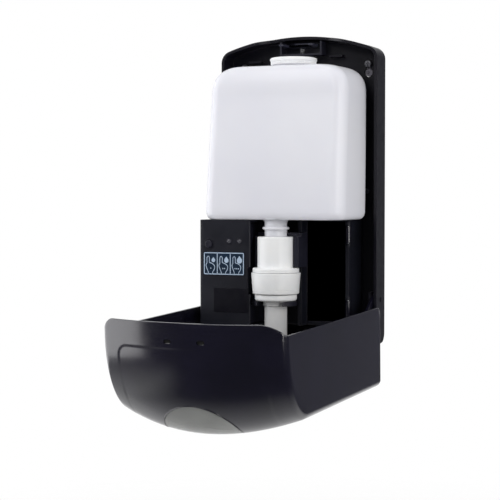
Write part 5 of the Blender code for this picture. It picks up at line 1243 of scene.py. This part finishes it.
@dataclass
class Housing(Assembly):
    """Mechanism housing, its screws, sensor, and the trim on the wing's front."""

    face: float = 75.0
    label: tuple[float, float, float, float] = (-59.0, -23.0, 57.2, 75.6)
    service: tuple[float, float, float, float] = (-50.0, -19.5, 27.5, 46.8)
    margin: float = 0.7
    lights: tuple[float, float] = (-36.6, -27.4)
    light_height: float = 84.5
    light_radius: float = 1.55
    button: tuple[float, float] = (-54.3, 82.0)
    screw: tuple[float, float] = (35.0, 106.5)

    def sheet(self, limits: Sequence[float]) -> Mesh:
        """A thin sheet with round corners, laid just clear of the wing's front."""
        return solo(prism, panel(*limits, 1.0), Axis.Y, self.face + 0.1, self.face + 0.4)

    def ink(self) -> Mesh:
        """The label's print: a frame of three boxes, each with a hand, a drop and dots for its dose."""
        left, right, low, high = self.label
        margin = self.margin
        back, front = self.face + 0.39, self.face + 0.46
        ink = bmesh.new()
        border = panel(left + margin, right - margin, low + margin, high - margin, margin)
        ribbon(ink, border, 0.75, back, front, closed=True)
        cell = (right - left - 2 * margin) / 3
        for k in (1, 2):
            x = left + margin + cell * k
            ribbon(ink, [(x, low + 0.8), (x, high - 0.8)], 0.7, back, front)
        for k in range(3):
            x = left + margin + cell * k
            self.hand(ink, x, low + 0.8, back, front)
            self.drop(ink, x + cell * 0.70, low + 10.2 - 0.35 * k, 1.6 + 0.36 * k, back, front)
            for dot in range(k + 1):
                prism(ink, arc(x + 5.7 + 1.5 * (dot - k / 2), low + 5.3, 0.5, 14), Axis.Y, back, front)
        return ink

    def hand(self, bm: Mesh, x: float, low: float, back: float, front: float) -> None:
        """Adds a plain outlined hand with one finger up.

        Args:
            bm: The mesh it goes into.
            x: Its left side.
            low: Its lower side.
            back: How far forward its back lies.
            front: How far forward its face lies.
        """
        thumb_side = [(3.5, 0.0), (3.5, 1.4), (2.7, 3.3), (2.0, 5.1), (1.5, 6.7), (1.8, 7.9), (2.3, 8.6)]
        finger = [(2.3, 10.7), (2.35, 12.7), (2.7, 13.7), (3.45, 14.1), (4.2, 13.7), (4.5, 12.7), (4.5, 10.7)]
        knuckles = [(4.6, 9.2), (6.3, 8.6), (7.9, 7.7), (9.0, 6.6)]
        heel = [(9.2, 4.9), (8.6, 3.1), (7.6, 1.7), (7.3, 0.0)]
        points = [(x + u, low + v) for u, v in thumb_side + finger + knuckles + heel]
        ribbon(bm, smooth_line(points, 4), 0.55, back, front)

    def drop(self, bm: Mesh, x: float, low: float, radius: float, back: float, front: float) -> None:
        """Adds a filled drop of this radius."""
        start = math.radians(35)
        body = arc(x, low + radius, radius, 20, start, -(math.pi + 2 * start))
        prism(bm, body + [(x, low + radius * 2.6)], Axis.Y, back, front)

    def light(self, x: float, name: str) -> None:
        """Makes one status light with its bezel."""
        r, face, height = self.light_radius, self.face, self.light_height
        dome = [(r * math.cos(a), face + 0.1 + 0.4 * math.sin(a)) for a in quarter(6)[:-1]]
        lens = solo(turned, [(0, 70.4), (r, 70.4)] + dome + [(0, face + 0.5)], Axis.Y, x, height, 32)
        self.add(lens, f"light_lens_{name}", CLEAR_ACRYLIC, "frame", [f"status_light_{name}"], slot="light")
        corners = [(1.65, face - 0.1), (2.3, face - 0.1), (2.3, face + 0.25), (1.65, face + 0.25)]
        bezel = solo(turned, rounded(corners, [0, 0, 0.15, 0.1], 3), Axis.Y, x, height, 40)
        self.add(bezel, f"light_bezel_{name}", LATCH_ACETAL, "frame", slot="dark_grey")

    def trim(self) -> None:
        """Makes the label with its three doses, the service plate, lights and button."""
        self.add(self.sheet(self.label), "dose_film", PRINTED_FILM, "frame", ["dose_label"], slot="label")
        self.add(self.ink(), "dose_ink", SCREEN_INK, "frame", slot="label")
        plate, nodes = self.sheet(self.service), ["service_plate"]
        self.add(plate, "service_panel", SATIN_ABS, "frame", nodes, edge=0.1, slot="dark_grey")
        for x, (_, name) in zip(self.lights, SIDES):
            self.light(x, name)
        cap = [(0, 72.1), (3.95, 72.1), (3.95, 72.7), (3.25, 72.7), (3.25, 75.75), (3.12, 76.0)]
        cap += [(2.85, 76.13), (2.2, 76.16), (1.2, 76.05), (0, 76.0)]
        cap = solo(turned, cap, Axis.Y, *self.button, 48)
        self.add(cap, "button_cap", LATCH_ACETAL, "button", ["dose_button"], slot="dark_grey")
        ring = rounded([(3.6, 74.9), (4.5, 74.9), (4.5, 75.3), (3.6, 75.3)], [0, 0, 0.2, 0.15], 3)
        ring = solo(turned, ring, Axis.Y, *self.button, 48)
        self.add(ring, "button_ring", HOUSING_ABS, "frame", slot="housing")

    def build(self) -> None:
        """Makes the housing, its screws and its trim."""
        self.refined("mechanism_housing", "drive_housing", HOUSING_ABS, 0.4, "housing")
        self.refined("drive_cover", "drive_lid", LATCH_ACETAL, 0.25, "dark_grey")
        screw_x, screw_height = self.screw
        for side, name in SIDES:
            x = screw_x * side
            screw = pan_screw(x, screw_height, seat=5.3, head=2.6, tall=1.5, shank=1.4, back=2.8)
            self.add(screw, f"tab_screw_{name}", ZINC_STEEL, "frame", [f"housing_screw_{name}"], slot="steel")
        self.trim()
        dress(BOARD_LAMINATE, "circuit_board")
        dress(LATCH_ACETAL, "button_switch")
        dress(INFRARED_LENS, "sensor_window", "ir_emitter", "ir_receiver")


@dataclass
class Drive(Assembly):
    """Motor, wheels and the rack carriage that lifts the pump."""

    def build(self) -> None:
        """Makes the carriage and cradle, and dresses the rest."""
        self.refined("carriage", "rack_carriage", LATCH_ACETAL, 0.2, "dark_grey")
        self.refined("pump_cradle", "collar_cradle", LATCH_ACETAL, 0.4, "dark_grey")
        dress(ZINC_STEEL, "motor", "gear_plate", "idler_shaft", "output_shaft", "guide_rod")
        dress(NATURAL_ACETAL, "idler_gear", "output_gear", "motor_pinion")


@dataclass
class BatteryBay(Assembly):
    """Four cells behind a glossy door."""

    radius: float = 7.1
    length: float = 49.0

    def cell(self, number: int) -> None:
        """Makes one cell with its sleeve, and the spring under it."""
        low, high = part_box(f"battery_cell_{number}")
        x, forward = (low[0] + high[0]) / 2 / MM, -(low[1] + high[1]) / 2 / MM
        foot, tip = low[2] / MM + PLATE_MIDDLE, high[2] / MM + PLATE_MIDDLE
        top = foot + self.length
        r = self.radius
        skin = r - 0.25
        can = [(0, foot), (r - 1.0, foot), (r - 0.5, foot + 0.3), (skin, foot + 0.9), (skin, top - 0.8)]
        can += [(r - 0.9, top - 0.2), (3.2, top - 0.2), (2.9, top), (2.6, top + 0.3), (2.6, tip - 0.3)]
        can += [(2.3, tip), (0, tip)]
        sleeve = [(r - 0.24, foot + 0.5), (r - 0.05, foot + 0.6), (r, foot + 1.0), (r, top - 0.9)]
        sleeve += [(r - 0.1, top - 0.4), (r - 0.6, top - 0.05), (4.6, top - 0.05), (4.6, top - 0.25)]
        sleeve += [(r - 0.24, top - 0.7)]
        place = (Axis.Z, x, forward, 48)
        nodes = [f"battery_cell_{number}"]
        self.add(solo(turned, can, *place), f"cell_can_{number}", NICKEL_STRIP, "frame", nodes, slot="steel")
        self.add(solo(turned, sleeve, *place), f"cell_sleeve_{number}", CELL_SLEEVE, "frame", slot="cell")
        low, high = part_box(f"contact_spring_{number}")
        foot, tip = low[2] / MM + PLATE_MIDDLE, high[2] / MM + PLATE_MIDDLE
        spring = coil(x, forward, foot, tip, radius=3.5, thickness=0.3, turns=4)
        nodes = [f"contact_spring_{number}"]
        self.add(spring, f"cell_spring_{number}", NICKEL_STRIP, "frame", nodes, slot="steel")

    def build(self) -> None:
        """Makes the door, cells and springs, and dresses the contacts."""
        self.refined("battery_door", "cell_cover", POLISHED_ABS, 0.3, "cover")
        dress(ZINC_STEEL, "door_pin_lower", "door_pin_upper")
        dress(NICKEL_STRIP, "contact_plate_lower", "contact_plate_upper")
        for number in range(1, 5):
            self.cell(number)


@dataclass
class Bottle(Assembly):
    """Blow-moulded soap bottle, neck down, with its filler cap."""

    low: float = 101.8
    foot: float = 108.0
    waist: float = 150.0
    shoulder: float = 200.0
    high: float = 224.5
    corner: float = 11.0
    crown_half: float = 38.0
    crown_middle: float = 34.0
    crown_reach: float = 24.5
    filler_forward: float = 28.7
    ribs: int = 72

    def sizes(self, height: float) -> tuple[float, float, float]:
        """Half width, front and back of the bottle at a height."""
        if height < self.foot:
            bulge = 1 - math.sqrt(max(1 - ((self.foot - height) / (self.foot - self.low)) ** 2, 0))
            return 60 - 4 * bulge, 77 - 2.1 * bulge, 13.8 + 3.7 * bulge
        if height < self.waist:
            t = (height - self.foot) / (self.waist - self.foot)
            return 60 - 0.3 * t, 77 - 3.5 * t, 13.8 - 2.0 * t
        if height <= self.shoulder:
            t = (height - self.waist) / (self.shoulder - self.waist)
            return 59.7 - 0.7 * t, 73.5 - 5.5 * t, 11.8 - 2.4 * t
        t = (height - self.shoulder) / (self.high - self.shoulder)
        slope = math.sqrt(max(1 - t**2.8, 0))
        front = self.crown_middle + self.crown_reach + (9.5 - 0.9 * t) * slope**0.65
        back = 9.4 - 0.6 * min(t * 2, 1) + 0.7 * max(t * 2 - 1, 0)
        return self.crown_half + 21 * slope, front, back

    def skin(self) -> Mesh:
        """The body with its neck and filler."""
        heights = [self.foot - (self.foot - self.low) * math.cos(a) for a in quarter(10)]
        heights += [self.foot + (self.shoulder - self.foot) * k / 16 for k in range(1, 17)]
        rise = self.high - self.shoulder
        heights += [self.shoulder + rise * (1 - (1 - k / 26) ** 2) for k in range(1, 27)]
        rings = []
        for height in heights:
            half, front, back = self.sizes(height)
            outline = panel(-half, half, back, front, self.corner, 12)
            rings.append([at(x, forward, height) for x, forward in outline])
        for share in (0.9, 0.8):
            half, reach, middle = self.crown_half * share, self.crown_reach * share, self.crown_middle
            outline = panel(-half, half, middle - reach, middle + reach, self.corner * share, 12)
            rings.append([at(x, forward, self.high) for x, forward in outline])
        bm = solo(loft, rings)
        neck = [(7.8, 68.0), (8.95, 68.0), (8.95, 93.8), (10.1, 94.0), (10.65, 94.4), (10.8, 95.0)]
        neck += [(10.65, 95.6), (10.1, 96.0), (8.95, 96.2), (8.95, 99.2), (9.3, 100.6), (10.4, 101.6)]
        neck += [(11.9, 102.2), (11.9, 103.0), (7.8, 103.0)]
        turned(bm, neck, Axis.Z, 0, PUMP_FORWARD, 96)
        filler = [(15.2, 222.0), (19.0, 222.0), (19.0, 224.3), (17.9, 224.7), (17.1, 225.6), (16.9, 226.6)]
        filler += [(16.9, 230.1), (16.6, 230.5), (15.6, 230.5), (15.2, 230.2)]
        turned(bm, filler, Axis.Z, 0, self.filler_forward, 96)
        return bm

    def cap(self) -> Mesh:
        """The filler cap: a ribbed skirt under a smooth bead."""
        skirt = [(17.9, 227.0, 0.0), (18.15, 226.9, 0.1), (18.4, 227.2, 0.22), (18.4, 229.0, 0.22)]
        skirt += [(18.45, 229.4, 0.1)]
        bead = [(18.9, 229.8), (19.15, 230.2), (19.25, 230.8), (19.2, 231.5), (18.9, 232.1), (18.4, 232.5)]
        bead += [(17.6, 232.7), (16.6, 232.7), (16.1, 232.5), (15.9, 232.2), (15.2, 232.0), (8.0, 231.95)]
        turns = [math.tau * k / (self.ribs * 4) for k in range(self.ribs * 4)]
        rings = []
        for radius, height, rib in skirt + [(radius, height, 0.0) for radius, height in bead]:
            ring = []
            for turn in turns:
                out = radius + rib * math.cos(turn * self.ribs)
                ring.append(at(out * math.cos(turn), self.filler_forward + out * math.sin(turn), height))
            rings.append(ring)
        return solo(loft, rings)

    def build(self) -> None:
        """Makes the bottle and cap, and dresses the seal."""
        skin, cap = self.skin(), self.cap()
        self.add(skin, "soap_bottle", MILKY_POLYETHYLENE, "bottle_pack", ["bottle"], smooth=40, slot="milky")
        self.add(cap, "filler_cap", WHITE_POLYPROPYLENE, "filler", ["fill_cap"], smooth=40, slot="white")
        dress(NITRILE_RUBBER, "cap_seal")


@dataclass
class Pump(Assembly):
    """Collar, cup, plunger, return spring and outlet tube on one upright axis."""

    spring_low: float = 42.7
    spring_high: float = 57.1

    def ring(self, name: str, node: str, body: str, finish: Finish, *corners: Sequence[float]) -> None:
        """Makes a turned piece.

        Args:
            name: The piece's name.
            node: The CAD node it replaces.
            body: The CAD body it rides on.
            finish: Its finish.
            *corners: Its profile's corners as (radius, height), then the corner's own round if it has one.
        """
        radii = [corner[2] if len(corner) > 2 else 0 for corner in corners]
        profile = rounded([corner[:2] for corner in corners], radii, 5)
        made = solo(turned, profile, Axis.Z, 0, PUMP_FORWARD, 112)
        self.add(made, name, finish, body, [node], slot="white")

    def build(self) -> None:
        """Makes every piece of the pump."""
        self.ring(
            "screw_collar", "pump_collar", "bottle_pack", WHITE_POLYPROPYLENE,
            (9.25, 59.9, 0.2), (18.6, 59.9, 0.4), (18.6, 63.6, 1.1), (14.75, 63.6, 0.6), (14.75, 88.3, 0.9),
            (9.25, 88.3, 0.3),
        )
        self.ring(
            "pump_chamber", "pump_cup", "bottle_pack", WHITE_POLYPROPYLENE,
            (17.2, 42.8, 0.4), (18.45, 42.8, 1.0), (18.68, 46.3), (18.5, 46.5), (18.72, 46.7),
            (19.7, 59.6, 0.5), (7.4, 59.6), (7.4, 84.2, 0.3), (1.5, 84.2), (1.5, 83.1), (5.6, 83.1),
            (5.6, 57.4, 0.3), (17.4, 57.4, 0.5),
        )
        self.ring(
            "pump_plunger", "plunger", "pump_stem", WHITE_POLYPROPYLENE,
            (2.0, 37.3), (16.8, 37.3, 1.9), (16.8, 42.4, 0.5), (4.0, 42.4, 0.4), (4.0, 64.0),
            (5.3, 64.0, 0.2), (5.3, 68.0, 0.2), (2.0, 68.0),
        )
        self.ring(
            "outlet_tube", "nozzle_tube", "pump_stem", TUBE_POLYPROPYLENE,
            (7.2, 4.0, 0.3), (9.0, 4.0, 0.5), (9.0, 33.2, 0.3), (10.2, 33.2, 0.8), (10.2, 37.0, 0.4),
            (7.2, 37.0, 0.2),
        )
        self.ring(
            "outlet_nozzle", "outlet_insert", "pump_stem", WHITE_POLYPROPYLENE,
            (2.2, 5.1, 0.5), (7.05, 5.1), (7.05, 8.1), (2.2, 8.1, 0.3),
        )
        spring = coil(
            0, PUMP_FORWARD, self.spring_low, self.spring_high, radius=6.2, thickness=0.4, turns=6
        )
        made = self.add(spring, "plunger_spring", ZINC_STEEL, "pump_stem", ["pump_spring"], slot="steel")
        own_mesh(made)
        dress(ZINC_STEEL, "valve_ball")


# Studio


@dataclass(frozen=True)
class Lamp:
    """A soft rectangular lamp aimed at the dispenser."""

    name: str
    place: tuple[float, float, float]
    size: tuple[float, float]
    power: float
    colour: tuple[float, float, float] = (1.0, 1.0, 1.0)
    aim: tuple[float, float, float] = (0.0, -0.05, -0.02)

    def hang(self) -> None:
        """Puts the lamp in the scene."""
        data = bpy.data.lights.new(self.name, "AREA")
        data.shape = "RECTANGLE"
        data.size, data.size_y = self.size
        data.energy = self.power
        data.color = self.colour
        made = bpy.data.objects.new(self.name, data)
        made.location = self.place
        made.rotation_euler = (Vector(self.aim) - made.location).to_track_quat("-Z", "Y").to_euler()
        bpy.context.scene.collection.objects.link(made)


LAMPS = (
    Lamp("key_lamp", (-1.36, -0.3, 0.15), (1.8, 1.6), 16.0, (0.99, 0.985, 1.0)),
    Lamp("fill_lamp", (-0.3, -1.6, 1.2), (1.2, 1.2), 10.5),
    Lamp("strip_lamp", (1.23, -1.03, 0.25), (0.14, 1.1), 5.0, (1.0, 0.98, 0.96)),
    Lamp("side_lamp", (1.4, -0.3, 0.4), (1.0, 1.2), 5.0, (1.0, 0.99, 0.98)),
    Lamp("top_lamp", (-0.1, -0.1, 1.6), (1.0, 0.7), 5.0),
)


@dataclass
class Studio:
    """Pale floor, white surround, soft lamps and the photograph's camera; sizes are in metres."""

    floor_height: float = -0.42
    floor_half: float = 3.0
    floor_fade: tuple[float, float] = (0.4, 1.0)
    pools: Sequence[tuple[float, float, float]] = ((-0.15, 0.42, 0.5), (-0.9, -0.3, 0.35))
    pool_fade: float = 0.35
    daylight: float = 0.46
    whiteness: float = 0.78
    camera_side: tuple[float, float, float] = (0.41, -0.91, 0.0)
    camera_place: tuple[float, float, float] = (0.4607, -1.1354, -0.0001)
    camera_turn: float = 24.3
    camera_dip: float = 2.363
    lens: float = 105.4

    def outside_pools(self, tree: Tree, place: Socket) -> Socket:
        """How far outside the pools of floor that shiny faces show a place is, from nought to one."""
        shares = []
        for x, y, reach in self.pools:
            inputs = {0: place, 1: (x, y, self.floor_height)}
            off = add_node(tree, "ShaderNodeVectorMath", inputs, operation="DISTANCE").outputs["Value"]
            shares.append(remap(tree, off, (reach, reach + self.pool_fade)))
        return worked(tree, "MINIMUM", *shares)

    def floor(self) -> None:
        """Lays a pale floor that thins out towards its edge; shiny faces show it in pools only."""
        bm = bmesh.new()
        bmesh.ops.create_grid(bm, x_segments=8, y_segments=8, size=self.floor_half)
        bmesh.ops.translate(bm, verts=bm.verts, vec=Vector((0, 0, self.floor_height)))
        made = as_object(bm, "studio_floor")
        material = bpy.data.materials.new("pale_floor")
        material.use_nodes = True
        tree = material.node_tree
        shader = tree.nodes["Principled BSDF"]
        pale = {"Base Color": linear("#f4f4f4"), "Roughness": 0.7, "Specular IOR Level": 0.1}
        connect(tree, shader, pale)
        place = add_node(tree, "ShaderNodeTexCoord").outputs["Object"]
        far = add_node(tree, "ShaderNodeVectorMath", {0: place}, operation="LENGTH").outputs["Value"]
        rays = add_node(tree, "ShaderNodeLightPath").outputs
        seen = worked(tree, "MAXIMUM", rays["Is Camera Ray"], rays["Is Transmission Ray"])
        bare = worked(tree, "MAXIMUM", seen, rays["Is Glossy Ray"])
        white = add_node(tree, "ShaderNodeEmission", {"Color": WHITE, "Strength": 1.0}).outputs[0]
        lit = blend(tree, worked(tree, "MULTIPLY", bare, self.whiteness), shader.outputs["BSDF"], white)
        fade = remap(tree, far, self.floor_fade)
        gloss = worked(tree, "MULTIPLY", self.outside_pools(tree, place), rays["Is Glossy Ray"])
        clear = add_node(tree, "ShaderNodeBsdfTransparent").outputs[0]
        surface = blend(tree, worked(tree, "MAXIMUM", fade, gloss), lit, clear)
        connect(tree, tree.nodes["Material Output"], {"Surface": surface})
        made.data.materials.append(material)

    def surround(self) -> None:
        """White as seen; shiny faces show white behind the object and a dim room on the camera's side."""
        world = bpy.data.worlds.new("studio_surround")
        bpy.context.scene.world = world
        world.use_nodes = True
        tree = world.node_tree
        tree.nodes.clear()
        rays = add_node(tree, "ShaderNodeLightPath").outputs
        way = add_node(tree, "ShaderNodeTexCoord").outputs["Generated"]
        inputs = {0: way, 1: self.camera_side}
        towards = add_node(tree, "ShaderNodeVectorMath", inputs, operation="DOT_PRODUCT").outputs["Value"]
        placed = remap(tree, towards, (-1.0, 1.0))
        room = ramp(tree, placed, (0.05, "#ffffff"), (0.11, "#54545c"), (0.5, "#3c3c44"), (1.0, "#2c2c34"))
        white, seen, soft = (
            add_node(tree, "ShaderNodeBackground", {"Color": colour, "Strength": strength}).outputs[0]
            for colour, strength in ((WHITE, 1.0), (room, 1.0), ((0.97, 0.985, 1.0, 1.0), self.daylight))
        )
        glossy = blend(tree, rays["Is Glossy Ray"], soft, seen)
        plain = worked(tree, "MAXIMUM", rays["Is Camera Ray"], rays["Is Transmission Ray"])
        add_node(tree, "ShaderNodeOutputWorld", {"Surface": blend(tree, plain, glossy, white)})

    def camera(self) -> None:
        """Stands the camera where the photograph was taken from."""
        data = bpy.data.cameras.new("photo_camera")
        data.lens = self.lens
        data.sensor_width = 36.0
        made = bpy.data.objects.new("photo_camera", data)
        made.location = self.camera_place
        made.rotation_euler = (math.radians(90 - self.camera_dip), 0.0, math.radians(self.camera_turn))
        bpy.context.scene.collection.objects.link(made)
        bpy.context.scene.camera = made

    def build(self) -> None:
        """Sets up the whole studio."""
        self.floor()
        self.surround()
        for lamp in LAMPS:
            lamp.hang()
        self.camera()


def main() -> None:
    """Builds the dispenser piece by piece, then the studio."""
    logging.basicConfig(level=logging.INFO, format="%(message)s")
    bpy.context.scene.view_settings.view_transform = "Standard"
    for part in (BackPlate(), Latch(), FrontCover(), Housing(), Drive(), BatteryBay(), Bottle(), Pump()):
        part.build()
        part.report()
    Studio().build()


if __name__ == "__main__":
    main()
